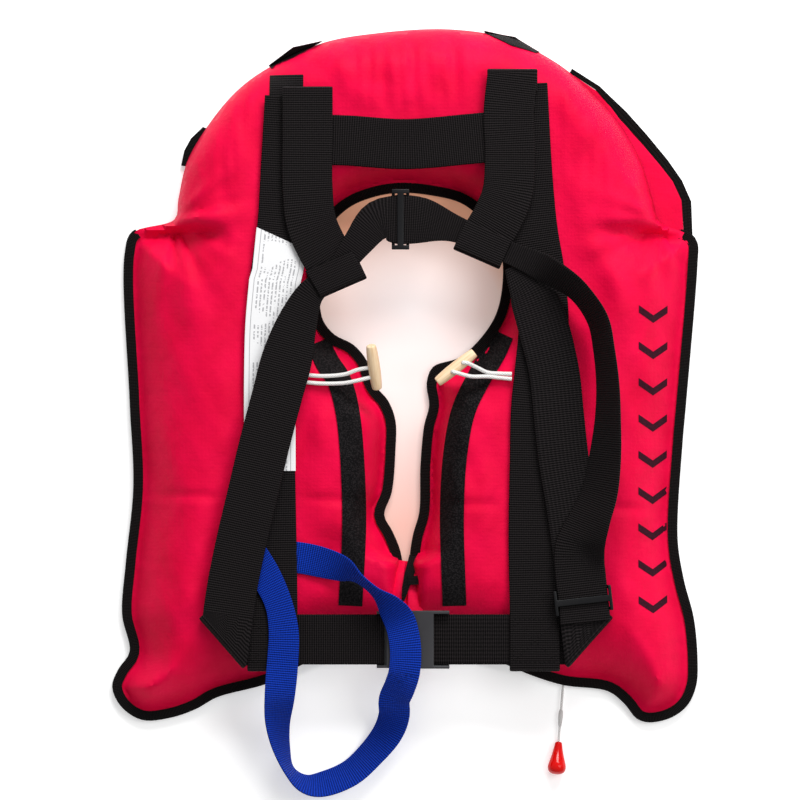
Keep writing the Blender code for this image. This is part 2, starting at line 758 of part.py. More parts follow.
def make_toggle(side, middle, angle, runs):
    """A wooden toggle and the two runs of cord that hold it."""
    length, girth = 38, 5.0
    profile = [(0, 0), (0, 3.0), (1, 3.6), (8, 4.5), (19, girth), (30, 4.5), (37, 3.6), (38, 3.0), (38, 0)]
    direction = Vector((math.cos(math.radians(angle)), math.sin(math.radians(angle)), 0.0))
    base = Vector((*middle, TOGGLE_HEIGHT)) * MM - direction * length / 2 * MM
    turned(f"wood_toggle_{side}", profile, base, direction, "wood", 14)
    for name, points in runs.items():
        cord(f"toggle_cord_{side}_{name}", points, TOGGLE_CORD, "white_cord", 0.009)


def make_toggles():
    make_toggle(
        "left", (-25, 6.5), 98,
        {
            "upper": [(-85, 1, 43.4), (-66, -0.5, 43.4), (-48, 1, 44), (-38, 4.5, 46), (-32, 5.6, 47.2)],
            "lower": [(-85, -5, 43.4), (-66, -6.5, 43.4), (-48, -6, 44), (-38, -4, 46), (-31, -1.9, 47.2)],
        },
    )
    make_toggle(
        "right", (40, 6.4), 38.5,
        {
            "upper": [
                (84.6, 1.2, 43.4), (74, 1.5, 43.4), (63, 4.5, 44.5), (55.5, 5.2, 46.4), (49.6, 4.5, 47.2),
            ],
            "lower": [
                (84.6, -4.4, 43.4), (74, -4.2, 43.4), (61, -3.2, 44.5), (50, -3.6, 46.4), (41.4, -2.2, 47.2),
            ],
        },
    )


def make_pull_handle():
    """The pear-shaped handle lies on its side on the table, at the end of the pull cord."""
    start = (*PULL_CORD_START, PULL_CORD_HEIGHT)
    end = (*PULL_CORD_END, PULL_CORD_HEIGHT)
    cord("pull_cord", [start, end], PULL_CORD, "white_cord", 0.006)
    profile = [
        (0, 0), (0, 2.2), (0.6, 2.6), (6, 3.7), (12, 5.2), (17, 6.6), (20, 7.2), (23, 6.6), (25.2, 4.6),
        (26, 2.2), (26.2, 0),
    ]
    along = (Vector(end) - Vector(start)).normalized()
    base = Vector(end) * MM + along * GAP
    tilt = Vector((0.0, 0.0, math.tan(math.radians(12.6))))
    turned("pull_handle", profile, base, along + tilt, "red_plastic", 18)


def make_inflator():
    """The manual inflator in the right lobe: body, firing lever on its pin, gas cylinder and its seat."""
    body = block("inflator_body", (0.119, -0.172, 0.0062), (0.151, -0.146, 0.0312), "dark_plastic")
    extend(body, (0.1425, -0.197, 0.0062), (0.1515, -0.171, 0.0110))

    pivot_x, pivot_y = LEVER_PIVOT
    tip_x, tip_y = LEVER_TIP
    boss, eye = 4.0, 3.4
    along = (Vector(LEVER_TIP) - Vector(LEVER_PIVOT)).normalized()
    base_angle = math.atan2(along.y, along.x)
    outline = []
    for centre, radius, turn in (((pivot_x, pivot_y), boss, math.pi), ((tip_x, tip_y), eye, 0.0)):
        for part in range(7):
            angle = base_angle + turn - math.pi / 2 + math.pi * part / 6
            outline.append((centre[0] + radius * math.cos(angle), centre[1] + radius * math.sin(angle)))
    lever = prism("firing_lever", outline, LEVER_BOTTOM, LEVER_TOP, "dark_plastic")
    pivot = Vector((pivot_x, pivot_y)) * MM
    hole = turned(
        "lever_hole", [(0, 0), (0, 1.8), (8, 1.8), (8, 0)], (*pivot, 0.0), (0, 0, 1), "brass", 12
    )
    shape_with(lever, hole, "DIFFERENCE")
    turned("lever_pin", [(0, 0), (0, 1.5), (4.3, 1.5), (4.3, 0)], (*pivot, 0.0016), (0, 0, 1), "brass", 12)

    turned(
        "gas_cylinder",
        [(0, 0), (0, 4.6), (8, 4.6), (10, 6.5), (17, 12.5), (97, 12.5), (102, 10.5), (105, 6), (105.5, 0)],
        (CYLINDER_X, -0.1457, CYLINDER_Z), (0, 1, 0), "cylinder_steel", 20,
    )
    turned(
        "inflator_seat", [(0, 0), (0, 9), (1.6, 9), (1.6, 0)],
        (0.135, -0.159, 0.0315), (0, 0, 1), "brass", 18,
    )


def make_oral_tube():
    """The mouth inflation tube in the left lobe, with its valve and a dust cap that pulls off."""
    top = Vector((ORAL_TUBE_X, -0.075, ORAL_TUBE_Z))
    down = (0, -1, 0)
    turned("oral_tube", [(0, 0), (0, 9), (2, 9), (5, 6), (84, 6), (84, 0)], top, down, "dark_plastic", 16)
    valve = top + Vector((0.0, -0.0843, 0.0))
    stem = [(0, 0), (0, 6.5), (3, 6.5), (4, 5), (15, 5), (15, 0)]
    turned("oral_valve", stem, valve, down, "red_plastic", 16)
    cap = valve + Vector((0.0, -0.0034, 0.0))
    turned(
        "oral_tube_cap",
        [
            (13.5, 0), (13.5, 5.5), (1.2, 5.5), (1.2, 7.6), (2.4, 7.6), (3, 7.0), (15.4, 7.0), (16.4, 5.6),
            (16.4, 0),
        ],
        cap, down, "dark_plastic", 16,
    )


def make_whistle():
    whistle = block("whistle", (-0.096, -0.181, 0.0120), (-0.082, -0.136, 0.0210), "red_plastic")
    carve(whistle, (-0.0925, -0.190, 0.0145), (-0.0855, -0.150, 0.0185))
    carve(whistle, (-0.0925, -0.160, 0.0180), (-0.0855, -0.155, 0.0220))


def make_reflective_patches():
    """Retro-reflective tape on the front of the bladder."""
    bottom, top = BLADDER_BOTTOM - GAP - TAPE, BLADDER_BOTTOM - GAP
    for side, left in (("left", -0.090), ("right", 0.040)):
        corner, opposite = (left, 0.190, bottom), (left + 0.050, 0.215, top)
        block(f"reflective_patch_{side}", corner, opposite, "reflective_tape")


def main():
    clear_scene()
    make_covers()
    make_bindings()
    make_bladder()
    make_front_flaps()
    make_patches()
    make_hook_tapes()
    make_lobe_strap("lobe_strap_left", LOBE_ROUTE_LEFT)
    make_lobe_strap("lobe_strap_right", LOBE_ROUTE_RIGHT)
    make_label()
    make_shoulder_straps()
    make_collar_strap()
    make_back_strap()
    make_right_waist_strap()
    make_crotch_strap()
    make_buckle()
    make_sliders()
    make_toggles()
    make_pull_handle()
    make_inflator()
    make_oral_tube()
    make_whistle()
    make_reflective_patches()


main()
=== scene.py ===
"""Looks of the inflatable life jacket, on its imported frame.

X runs right, Y up towards the collar and Z up from the table, in metres.
Outlines, routes and other lists of points are written in millimetres.
"""

import math

import bmesh
import bpy
import numpy as np
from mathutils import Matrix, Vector, noise
from mathutils.geometry import delaunay_2d_cdt


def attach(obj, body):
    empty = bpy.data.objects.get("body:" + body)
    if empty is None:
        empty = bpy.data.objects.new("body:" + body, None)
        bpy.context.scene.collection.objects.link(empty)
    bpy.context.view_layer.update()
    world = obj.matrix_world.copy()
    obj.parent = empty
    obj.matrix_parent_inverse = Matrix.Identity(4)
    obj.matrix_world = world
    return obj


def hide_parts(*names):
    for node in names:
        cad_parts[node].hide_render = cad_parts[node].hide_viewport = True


MM = 0.001
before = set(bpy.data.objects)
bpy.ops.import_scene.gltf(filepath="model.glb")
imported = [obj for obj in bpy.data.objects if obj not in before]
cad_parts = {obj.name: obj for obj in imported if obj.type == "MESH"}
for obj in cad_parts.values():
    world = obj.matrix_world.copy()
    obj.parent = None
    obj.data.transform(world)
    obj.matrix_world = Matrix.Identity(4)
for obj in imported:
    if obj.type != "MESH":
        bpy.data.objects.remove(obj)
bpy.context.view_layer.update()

# Camera: overhead, far enough away to be nearly parallel
VIEW_CENTRE = (-0.0044, -0.0196)
VIEW_WIDTH = 0.640
VIEW_DISTANCE = 4.0
VIEW_LEVEL = 0.025
SENSOR = 36.0

# Studio
TABLE_LEVEL = -0.0004
TABLE_REACH = 3.0
# The table glows with its own colour, painted bounce light included
TABLE_GLOW = 0.40
WORLD_LIGHT = 0.42

UP = Vector((0.0, 0.0, 1.0))

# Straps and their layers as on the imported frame, in millimetres, and the webbing's thickness in metres
WEBBING = 0.0019
WEBBING_WIDTH = 40
BLUE_WIDTH = 25
BINDING_WIDTH = 8
FIRST_LAYER = 40.5
LAYER_PITCH = 2.4
LAYER_MIDDLE = 0.8
RETURN, BELT, LOBE, UNDER, SHOULDER, BACK, FLAP = range(-1, 6)
BELT_Y = -210.4
BELT_TOP = BELT_Y + 20
BELT_BOTTOM = BELT_Y - 20

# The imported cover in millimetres: a thin rim, a ramp and a puffed top between the straps
RIM_TOP = 5.0
LEDGE = 2.6
COVER_TOP = 40.0
PUFF = 5.5
WING_RAMP = 56
COLLAR_ROLL = 34
NECK_RAMP = 25
SLOT_RAMP_CUT = 9
FOLD_DEPTH = 2.3
PLEAT_DEPTH = 4.4
CREASE_DEPTH = 2.2
PUCKER_DEPTH = 1.3
CORNER_FOLD_DEPTH = 10.5

# Heights in metres above the table
BINDING_MIDDLE = 0.0033
FLAP_MIDDLE = 0.0034
FLAP_BINDING_MIDDLE = 0.0022

OUTER_EDGE = [
    (-3, -221), (-60, -224), (-84, -233), (-109, -247), (-152, -259), (-168, -268), (-188, -275),
    (-212, -277), (-229, -266), (-236, -250), (-231, -236), (-222, -222), (-228, -192), (-225, -150),
    (-219, -89), (-222, -20), (-226, 98), (-220, 116), (-186, 126), (-183, 142), (-176, 172),
    (-160, 200), (-136, 229), (-110, 248), (-66, 268), (-20, 276), (28, 279), (63, 276), (88, 271),
    (108, 260), (131, 245), (166, 211), (188, 176), (199, 142), (205, 124), (229, 115), (235, 107),
    (235, 90),
    (226, -20), (223, -54), (219, -131), (224, -164), (232, -195), (235, -228), (234, -249),
    (227, -265), (214, -275), (196, -279), (186, -276), (176, -264), (163, -254), (127, -249),
    (101, -241), (77, -231), (52, -224), (3, -221),
]

NECK_EDGE = [
    (3, -221), (3, -150), (6, -128), (11, -110), (12, -72), (15, -40), (19, -24), (17, -6), (22, 7),
    (44, 15), (62, 32), (73, 50), (78, 74), (77, 98), (69, 115), (59, 128), (44, 139), (20, 145),
    (-4, 147), (-24, 144), (-44, 136), (-59, 122), (-68, 103), (-71, 80), (-69, 58), (-66, 44),
    (-57, 33), (-42, 25), (-31, 12), (-24, -8), (-14, -20), (-8, -36), (-8, -60), (-11, -94),
    (-17, -112), (-10, -126), (-3, -146), (-3, -221),
]

BLADDER_EDGE = [
    (-48, -184), (-132, -206), (-146, -196), (-144, -60), (-147, 60), (-144, 132), (-124, 178),
    (-86, 216), (-20, 236), (30, 238), (84, 222), (130, 182), (146, 132), (147, 60), (145, -60),
    (146, -196), (132, -204), (46, -186), (50, -100), (57, -20), (84, 0), (112, 34), (117, 84),
    (106, 128), (70, 168), (20, 184), (-24, 182), (-74, 162), (-104, 120), (-110, 70), (-98, 14),
    (-64, -18), (-50, -60), (-52, -120),
]

LOBE_ROUTE_LEFT = [
    (-92, 222), (-95, 170), (-98, 120), (-104, 75), (-107, 40), (-108, 0), (-108, -60), (-107, -120),
    (-106, -180), (-106, -222),
]
LOBE_ROUTE_RIGHT = [
    (93, 232), (97, 160), (101, 117), (107, 80), (110, 40), (107, 4), (104, -26), (103, -68),
    (102, -130), (103, -190), (103, -222),
]
LEFT_BACK_ROUTE = [
    (-5, 124), (-22, 123, 32), (-38, 105, 24), (-56, 81, 18), (-75, 66, 22), (-86, 42, 32), (-94, 14),
    (-102, -16), (-112, -54), (-121, -92), (-130, -130), (-137, -164), (-141, -190),
]
RIGHT_BACK_ROUTE = [
    (-3, 124), (14, 123, 36), (38, 117, 22), (62, 107, 18), (86, 96, 18), (102, 89, 22, 20),
    (118, 80, 32, 52), (137, 66, 40, 68), (152, 44, 40, 68), (157, 20, 40, 68), (160, -8, 40, 66),
    (160, -36, 40, 62), (158, -64, 40, 54), (154, -92, 40, 48), (147, -112, 40, 40), (141, -128, 40, 25),
    (138.4, -138, 40, 10), (138.1, -147, 40, 2), (139.1, -160), (141.3, -179), (143, -196),
]
WAIST_ROUTE = [
    (87, 88, 18), (93, 77, 26), (100, 66, 36), (108, 44), (118, 4), (122, -32), (126, -68),
    (132, -104), (138, -148), (141.3, -179), (142.5, -190),
]
SHOULDER_LEFT = [(-78, 224), (-78, 190), (-78, 150), (-75, 122), (-66, 101), (-56, 85)]
SHOULDER_RIGHT = [(85, 238), (82, 208), (83, 176), (81, 145), (73, 125), (63, 108)]
BLUE_ROUTE = [
    (-95, -144, 41.7), (-80, -146, 41.7), (-66, -149, 42.8, 25, 12), (-50, -154, 44, 25, 35),
    (-36, -162, 45, 25, 72), (-25, -171, 46.5, 25, 72), (-12, -184, 49, 25, 35), (-3, -200, 50),
    (0, -218, 50), (-1, -236, 49), (-5, -249, 43), (-9, -259, 34), (-9, -271, 23), (-14, -286, 10, 25, 15),
    (-26, -302, 3.5, 25, 30), (-44, -319, 2, 25, 35), (-66, -328, 2, 25, 40), (-82, -327, 2, 25, 60),
    (-93, -317, 3, 25, 74), (-99, -300, 9, 25, 60), (-102, -278, 24, 25, 40), (-100, -254, 44, 25, 15),
    (-98, -230, 46.3), (-97, -204, 46.3, 24, 0), (-101, -182, 46.3, 22, 0), (-111, -160, 46.3, 24, 0),
    (-125, -138, 46.3),
]
COLLAR_ROUTE = [(-92, 188), (-48, 187), (0, 184), (50, 188), (92, 192)]


# ---------------------------------------------------------------- lines and shapes


def in_metres(points):
    return [Vector(point) * MM for point in points]


def smooth_line(points, step):
    """Points about a step apart on a centripetal Catmull-Rom curve through the given ones."""
    points = [Vector(point) for point in points]
    ring = [2 * points[0] - points[1], *points, 2 * points[-1] - points[-2]]
    line = []
    for before, start, end, after in zip(ring, ring[1:], ring[2:], ring[3:]):
        knots = [0.0]
        for first, second in ((before, start), (start, end), (end, after)):
            knots.append(knots[-1] + math.sqrt((second - first).length))
        count = max(1, round((end - start).length / step))
        for index in range(count):
            at = knots[1] + (knots[2] - knots[1]) * index / count
            line.append(catmull_rom((before, start, end, after), knots, at))
    line.append(points[-1])
    return line


def catmull_rom(points, knots, at):
    level = list(points)
    for reach in (1, 2):
        level = [
            first.lerp(second, (at - low) / (high - low))
            for first, second, low, high in zip(level, level[1:], knots, knots[reach:])
        ]
    return level[0].lerp(level[1], (at - knots[1]) / (knots[2] - knots[1]))


def side_vectors(line, closed=False):
    """Vectors to the left of a flat line at its points, long enough to keep an offset at corners."""
    runs = [
        (after - before).to_2d().normalized()
        for before, after in zip(line, line[1:] + line[:1])
    ]
    if not closed:
        runs[-1] = runs[-2]
    sides = []
    for index, run in enumerate(runs):
        before = runs[index - 1] if closed or index else run
        left = Vector((-run.y, run.x))
        mean = (left + Vector((-before.y, before.x))).normalized()
        sides.append(mean / max(mean.dot(left), 0.5))
    return sides


def move_sideways(line, distance, closed=False):
    return [
        point.to_2d() + side * distance for point, side in zip(line, side_vectors(line, closed))
    ]


def at_height(point, height):
    return Vector((point[0], point[1], height))


def line_distance(points, line, closed=False):
    """For each flat point: its distance to a line, the length along the line there, and its side."""
    starts = np.array([point[:2] for point in line])
    ends = np.roll(starts, -1, axis=0) if closed else starts[1:]
    starts = starts if closed else starts[:-1]
    runs = ends - starts
    lengths = np.hypot(*runs.T)
    before = np.concatenate([[0], np.cumsum(lengths)[:-1]])
    best = np.full(len(points), np.inf)
    along = np.zeros(len(points))
    side = np.ones(len(points))
    for start, run, length, done in zip(starts, runs, lengths, before):
        offset = points - start
        share = np.clip(offset @ run / length**2, 0, 1)
        away = np.hypot(*(offset - share[:, None] * run).T)
        nearer = away < best
        best[nearer] = away[nearer]
        along[nearer] = done + share[nearer] * length
        cross = run[0] * offset[:, 1] - run[1] * offset[:, 0]
        side[nearer] = np.sign(cross[nearer])
    return best, along, side


def smooth_step(value):
    share = np.clip(value, 0, 1)
    return share * share * (3 - 2 * share)


def noise_at(points, across, seed):
    """Smooth noise from -1 to 1 over features of this size in metres, (x size, y size)."""
    return np.array([
        noise.noise(Vector((x / across[0], y / across[1], seed))) for x, y in points
    ])


EDGES = [smooth_line(in_metres(edge), 0.004) for edge in (OUTER_EDGE, NECK_EDGE)]
WHOLE_EDGE = EDGES[0][:-1] + EDGES[1][:-1]
COLLAR_START, COLLAR_MIDDLE, COLLAR_FULL = 0.112, 0.1175, 0.124
LOBES_MEET = -0.140
PLEATS_START = 0.13
CREASE_Y = -0.101
STRAP_HOLD = 0.022
WING_CORNERS = [(-0.186, 0.126), (0.204, 0.124)]
STRAP_LINES = [
    (smooth_line([Vector(point[:2]) * MM for point in route], 0.01), reach)
    for route, reach in (
        (LOBE_ROUTE_LEFT, 0.020), (LOBE_ROUTE_RIGHT, 0.020), (LEFT_BACK_ROUTE[3:], 0.018),
        (WAIST_ROUTE, 0.020), (SHOULDER_LEFT, 0.020), (SHOULDER_RIGHT, 0.020), (COLLAR_ROUTE, 0.020),
        (RIGHT_BACK_ROUTE[3:8], 0.012), ([(-150, BELT_Y), (150, BELT_Y)], 0.021),
        (BLUE_ROUTE[:6], 0.013), (BLUE_ROUTE[-5:], 0.013),
        ([(-88, -2), (-34, 2)], 0.014), ([(88, 0), (44, 3)], 0.014),
    )
]


def cover_heights(points):
    """The top of the puffed cover at flat points, in metres."""
    points = np.array([point[:2] for point in points], float)
    outer, along, _ = line_distance(points, EDGES[0])
    neck, neck_along, _ = line_distance(points, EDGES[1])
    collar = smooth_step((points[:, 1] - COLLAR_START) / (COLLAR_FULL - COLLAR_START))
    closed = smooth_step((LOBES_MEET - points[:, 1]) / 0.012)
    outer, neck = outer / MM, neck / MM - BINDING_WIDTH * (1 - closed)
    height = side_heights(outer, neck, collar, closed)
    rise = smooth_step((height - RIM_TOP) / (COVER_TOP - RIM_TOP))
    free = strap_freedom(points)
    height += rise * fold_heights(points, free)
    for corner in WING_CORNERS:
        height += radial_folds(points, corner) * np.minimum(1, outer / 12) * (0.25 + 0.75 * free)
    near_edge = np.minimum(np.where(collar > 0.5, 99, outer - BINDING_WIDTH), neck)
    nearest = np.where(neck < outer - BINDING_WIDTH, neck_along + 5, along)
    return (height + puckers(nearest, near_edge)) * MM


def side_heights(outer, neck, collar, closed):
    """The sides of the cover: a ramp at the wings and the neck hole, and a round roll at the collar."""
    wing_share = np.clip((outer - BINDING_WIDTH - LEDGE) / WING_RAMP, 0, 1)
    wing = RIM_TOP + (COVER_TOP - RIM_TOP) * (1 - (1 - wing_share) ** 2.2)
    roll_share = np.clip(outer / COLLAR_ROLL, 0, 1)
    rolled = COVER_TOP * np.sqrt(np.clip(1 - (1 - roll_share) ** 2, 0.02, 1))
    inner_ramp = NECK_RAMP - SLOT_RAMP_CUT * closed
    inner_share = np.clip((neck - LEDGE * (1 - closed)) / inner_ramp, 0, 1)
    inner = RIM_TOP + (COVER_TOP - RIM_TOP) * (1 - (1 - inner_share) ** 2)
    return np.minimum(wing * (1 - collar) + rolled * collar, inner)


def strap_freedom(points):
    """0 where a strap or a cord holds the cover down, and 1 well away from all of them."""
    free = np.ones(len(points))
    for line, reach in STRAP_LINES:
        free *= smooth_step((line_distance(points, line)[0] - reach) / STRAP_HOLD)
    return free


def fold_heights(points, free):
    """Puff between the straps, long folds, pleats in the collar and a crease across both lobes."""
    soft = noise_at(points, (0.075, 0.075), 3.1) + 0.5 * noise_at(points, (0.034, 0.034), 8.4)
    folds = noise_at(points @ turn_matrix(28), (0.018, 0.090), 1.7)
    folds += 0.6 * noise_at(points @ turn_matrix(-35), (0.012, 0.060), 5.2)
    pleats = np.abs(noise_at(points, (0.011, 0.085), 9.3))
    pleats *= smooth_step((points[:, 1] - PLEATS_START) / 0.04)
    crease = np.exp(-(((points[:, 1] - CREASE_Y + 0.03 * points[:, 0]) / 0.0035) ** 2))
    height = free * PUFF * (0.75 + 0.6 * soft) + (0.3 + 0.7 * free) * FOLD_DEPTH * folds
    return height - free * (PLEAT_DEPTH * pleats + CREASE_DEPTH * crease)


def puckers(nearest, near_edge):
    """Small gathers along the binding that fade away from it."""
    pucker = np.array([noise.noise(Vector((along / 0.0065, 0.0, 4.0))) for along in nearest])
    pucker += 0.7 * np.array([noise.noise(Vector((along / 0.021, 2.0, 7.0))) for along in nearest])
    return PUCKER_DEPTH * pucker * np.exp(-np.clip(near_edge, 0, None) / 12) * smooth_step(near_edge / 5)


def radial_folds(points, corner):
    """Folds that fan out from where a wing meets the collar."""
    offset = points - np.array(corner)
    reach = np.hypot(*offset.T) / 0.055
    turn = np.arctan2(offset[:, 1], offset[:, 0])
    waves = np.array([
        noise.noise(Vector((math.cos(t) * 3.4, math.sin(t) * 3.4, 2.0 + k * 0.25)))
        for t, k in zip(turn, reach)
    ])
    return CORNER_FOLD_DEPTH * waves * np.exp(-reach) * smooth_step(reach * 2.5)


def turn_matrix(degrees):
    angle = math.radians(degrees)
    return np.array([[math.cos(angle), -math.sin(angle)], [math.sin(angle), math.cos(angle)]])


# ---------------------------------------------------------------- materials


WAVE_PERIOD = 0.31416


class Shading:
    """A short way to write node trees. Sizes and pitches are in metres."""

    def __init__(self, name, colour, roughness):
        self.material = bpy.data.materials.new(name)
        self.material.use_nodes = True
        self.tree = self.material.node_tree
        self.shader = self.tree.nodes["Principled BSDF"]
        self.set(self.shader, "Base Color", (*colour, 1.0))
        self.set(self.shader, "Roughness", roughness)

    def set(self, node, socket, value):
        if isinstance(value, bpy.types.NodeSocket):
            self.tree.links.new(value, node.inputs[socket])
        else:
            node.inputs[socket].default_value = value

    def node(self, kind, inputs=None, **settings):
        made = self.tree.nodes.new(kind)
        for key, value in settings.items():
            setattr(made, key, value)
        for socket, value in (inputs or {}).items():
            self.set(made, socket, value)
        return made

    def coordinates(self, output="Object", scale=(1.0, 1.0, 1.0)):
        source = self.node("ShaderNodeTexCoord").outputs[output]
        return self.node("ShaderNodeMapping", {"Vector": source, "Scale": scale}).outputs["Vector"]

    def noise(self, vector, size, detail=3.0, rough=0.55):
        return self.node(
            "ShaderNodeTexNoise",
            {"Vector": vector, "Scale": 1.0 / size, "Detail": detail, "Roughness": rough},
        ).outputs["Fac"]

    def wave(self, vector, pitch, direction, distortion=0.0):
        return self.node(
            "ShaderNodeTexWave",
            {"Vector": vector, "Scale": WAVE_PERIOD / pitch, "Distortion": distortion},
            bands_direction=direction,
        ).outputs["Fac"]

    def weave(self, vector, pitch):
        return self.times(self.wave(vector, pitch, "X"), self.wave(vector, pitch, "Y"))

    def times(self, first, second):
        return self.math("MULTIPLY", first, second)

    def rise(self, value, low, high):
        """From 0 at low to 1 at high."""
        inputs = {"Value": value, "From Min": low, "From Max": high}
        return self.node("ShaderNodeMapRange", inputs).outputs[0]

    def math(self, operation, *values):
        made = self.node("ShaderNodeMath", operation=operation)
        for index, value in enumerate(values):
            self.set(made, index, value)
        return made.outputs[0]

    def ramp(self, factor, stops):
        made = self.node("ShaderNodeValToRGB", {"Fac": factor})
        elements = made.color_ramp.elements
        while len(elements) < len(stops):
            elements.new(0.5)
        for element, (place, colour) in zip(elements, stops):
            element.position = place
            element.color = (*colour, 1.0)
        return made.outputs["Color"]

    def bump(self, height, distance, strength=1.0, below=None):
        inputs = {"Height": height, "Distance": distance, "Strength": strength}
        if below is not None:
            inputs["Normal"] = below
        return self.node("ShaderNodeBump", inputs).outputs["Normal"]

    def finish(self, **inputs):
        for socket, value in inputs.items():
            self.set(self.shader, socket.replace("_", " "), value)
        return self.material


NYLON_WEAVE = 0.0011


def nylon_material():
    """Coated red nylon: a fine plain weave, faint cloudiness and a soft sheen."""
    s = Shading("red_nylon_look", (0.76, 0.004, 0.045), 0.5)
    place = s.coordinates()
    weave = s.weave(place, NYLON_WEAVE)
    cloud = s.noise(place, 0.035, 4.0)
    colour = s.ramp(cloud, [(0.3, (0.70, 0.0015, 0.040)), (0.7, (0.84, 0.0025, 0.058))])
    crinkle = s.noise(place, 0.007, 5.0, 0.62)
    normal = s.bump(crinkle, 0.0011, 0.50)
    normal = s.bump(weave, 0.00016, 0.55, normal)
    rough = s.math("MULTIPLY_ADD", s.noise(place, 0.012), 0.16, 0.42)
    return s.finish(
        Base_Color=colour, Roughness=rough, Normal=normal, Sheen_Weight=0.06, Sheen_Roughness=0.35,
        Sheen_Tint=(1.0, 0.06, 0.18, 1.0), Specular_IOR_Level=0.055,
    )


def webbing_material(name, dark, light, rib):
    """Ribbed webbing: cross ribs and warp yarns with a painted sheen on their crests, and fine streaks of
    tone along the fibres.
    """
    s = Shading(name, dark, 0.8)
    place = s.coordinates("UV")
    ribs = s.wave(place, rib, "Y", distortion=0.25)
    yarns = s.wave(place, 0.0014, "X")
    cloth = s.math("MULTIPLY_ADD", yarns, 0.45, ribs)
    fibre = s.noise(s.coordinates("UV", (1.0, 0.25, 1.0)), 0.0006, 3.0)
    shade = s.math("MULTIPLY_ADD", fibre, 0.35, s.times(cloth, 0.42))
    # Painted sheen: the crests of the ribs and yarns are painted lighter, with the fibre streaks mixed in
    colour = s.ramp(shade, [(0.25, dark), (0.85, light)])
    normal = s.bump(cloth, 0.0007, 0.9)
    normal = s.bump(fibre, 0.0002, 0.5, normal)
    return s.finish(
        Base_Color=colour, Normal=normal, Roughness=0.72, Sheen_Weight=0.01, Sheen_Roughness=0.4,
        Specular_IOR_Level=0.10,
    )


def hook_material():
    """Hook tape: dull, with a fine felt of loops."""
    s = Shading("hook_tape_look", (0.012, 0.012, 0.013), 0.9)
    place = s.coordinates("UV")
    hooks = s.node("ShaderNodeTexVoronoi", {"Vector": place, "Scale": 1 / 0.0011}).outputs["Distance"]
    fuzz = s.noise(place, 0.0005, 2.0)
    colour = s.ramp(hooks, [(0.0, (0.026, 0.022, 0.023)), (0.6, (0.004, 0.0035, 0.004))])
    normal = s.bump(hooks, 0.0006, 0.8)
    normal = s.bump(fuzz, 0.0003, 0.6, normal)
    return s.finish(Base_Color=colour, Normal=normal, Specular_IOR_Level=0.1)


def plastic_material(name, colour, roughness, shine=0.5):
    """Moulded plastic with fine grain, faint wear and small handling marks."""
    s = Shading(name, colour, roughness)
    place = s.coordinates()
    pits = s.noise(place, 0.0005, 2.0)
    marks = s.noise(s.coordinates("Object", (1.0, 4.0, 1.0)), 0.006, 6.0, 0.7)
    rough = s.math("MULTIPLY_ADD", marks, 0.22, roughness - 0.08)
    return s.finish(Roughness=rough, Normal=s.bump(pits, 0.00012, 0.5), Specular_IOR_Level=shine)


def gloss_material():
    """Glossy red plastic with a slightly uneven shine."""
    s = Shading("red_plastic_look", (0.68, 0.003, 0.002), 0.12)
    place = s.coordinates()
    rough = s.math("MULTIPLY_ADD", s.noise(place, 0.004, 5.0), 0.16, 0.06)
    return s.finish(Roughness=rough, Coat_Weight=0.05, Coat_Roughness=0.08, Specular_IOR_Level=0.22)


def wood_material():
    """Bare turned wood: long grain, growth streaks and pores along the toggle."""
    s = Shading("wood_look", (0.80, 0.55, 0.28), 0.5)
    along = s.coordinates("UV", (1.0, 0.06, 1.0))
    streak = s.noise(along, 0.0016, 5.0, 0.6)
    colour = s.ramp(
        streak, [(0.25, (0.70, 0.44, 0.22)), (0.5, (0.90, 0.67, 0.42)), (0.8, (0.95, 0.78, 0.56))]
    )
    pores = s.noise(along, 0.0005, 3.0)
    return s.finish(Base_Color=colour, Normal=s.bump(pores, 0.0002, 0.6), Roughness=0.55)


def cord_material():
    """Braided cord: two crossing sets of yarns."""
    s = Shading("white_cord_look", (0.84, 0.83, 0.81), 0.8)
    place = s.coordinates("UV")
    yarns = []
    for lean in (0.7, -0.7):
        leaning = s.node("ShaderNodeMapping", {"Vector": place, "Rotation": (0, 0, lean)}).outputs[0]
        yarns.append(s.wave(leaning, 0.0013, "X"))
    braid = s.math("MAXIMUM", *yarns)
    colour = s.ramp(braid, [(0.2, (0.66, 0.64, 0.62)), (0.8, (0.92, 0.91, 0.89))])
    return s.finish(Base_Color=colour, Normal=s.bump(braid, 0.0004, 0.9), Sheen_Weight=0.3)


def label_material():
    """Woven white label with a thin border and rows of plain grey dashes."""
    s = Shading("white_label_look", (0.86, 0.86, 0.87), 0.6)
    place = s.coordinates("UV")
    across = s.node("ShaderNodeSeparateXYZ", {"Vector": place}).outputs["X"]
    from_middle = s.math("ABSOLUTE", across)
    lines = s.math("GREATER_THAN", s.wave(place, 0.0031, "X"), 0.62)
    words = s.noise(s.coordinates("UV", (0.32, 0.9, 1.0)), 0.0016, 1.0)
    dashes = s.times(lines, s.math("GREATER_THAN", words, 0.47))
    patches = s.noise(s.coordinates("UV", (0.4, 0.55, 1.0)), 0.016, 0.0)
    blocks = s.math("GREATER_THAN", patches, 0.43)
    inside = s.math("LESS_THAN", from_middle, 0.0155)
    print_mark = s.times(s.times(dashes, blocks), inside)
    from_border = s.math("ABSOLUTE", s.math("SUBTRACT", from_middle, 0.0175))
    border = s.math("LESS_THAN", from_border, 0.00035)
    mark = s.math("MAXIMUM", s.times(print_mark, 0.58), s.times(border, 0.55))
    colour = s.ramp(mark, [(0.0, (0.86, 0.86, 0.87)), (1.0, (0.10, 0.10, 0.12))])
    satin = s.wave(place, 0.0006, "Y")
    return s.finish(Base_Color=colour, Normal=s.bump(satin, 0.0001, 0.4), Roughness=0.5)


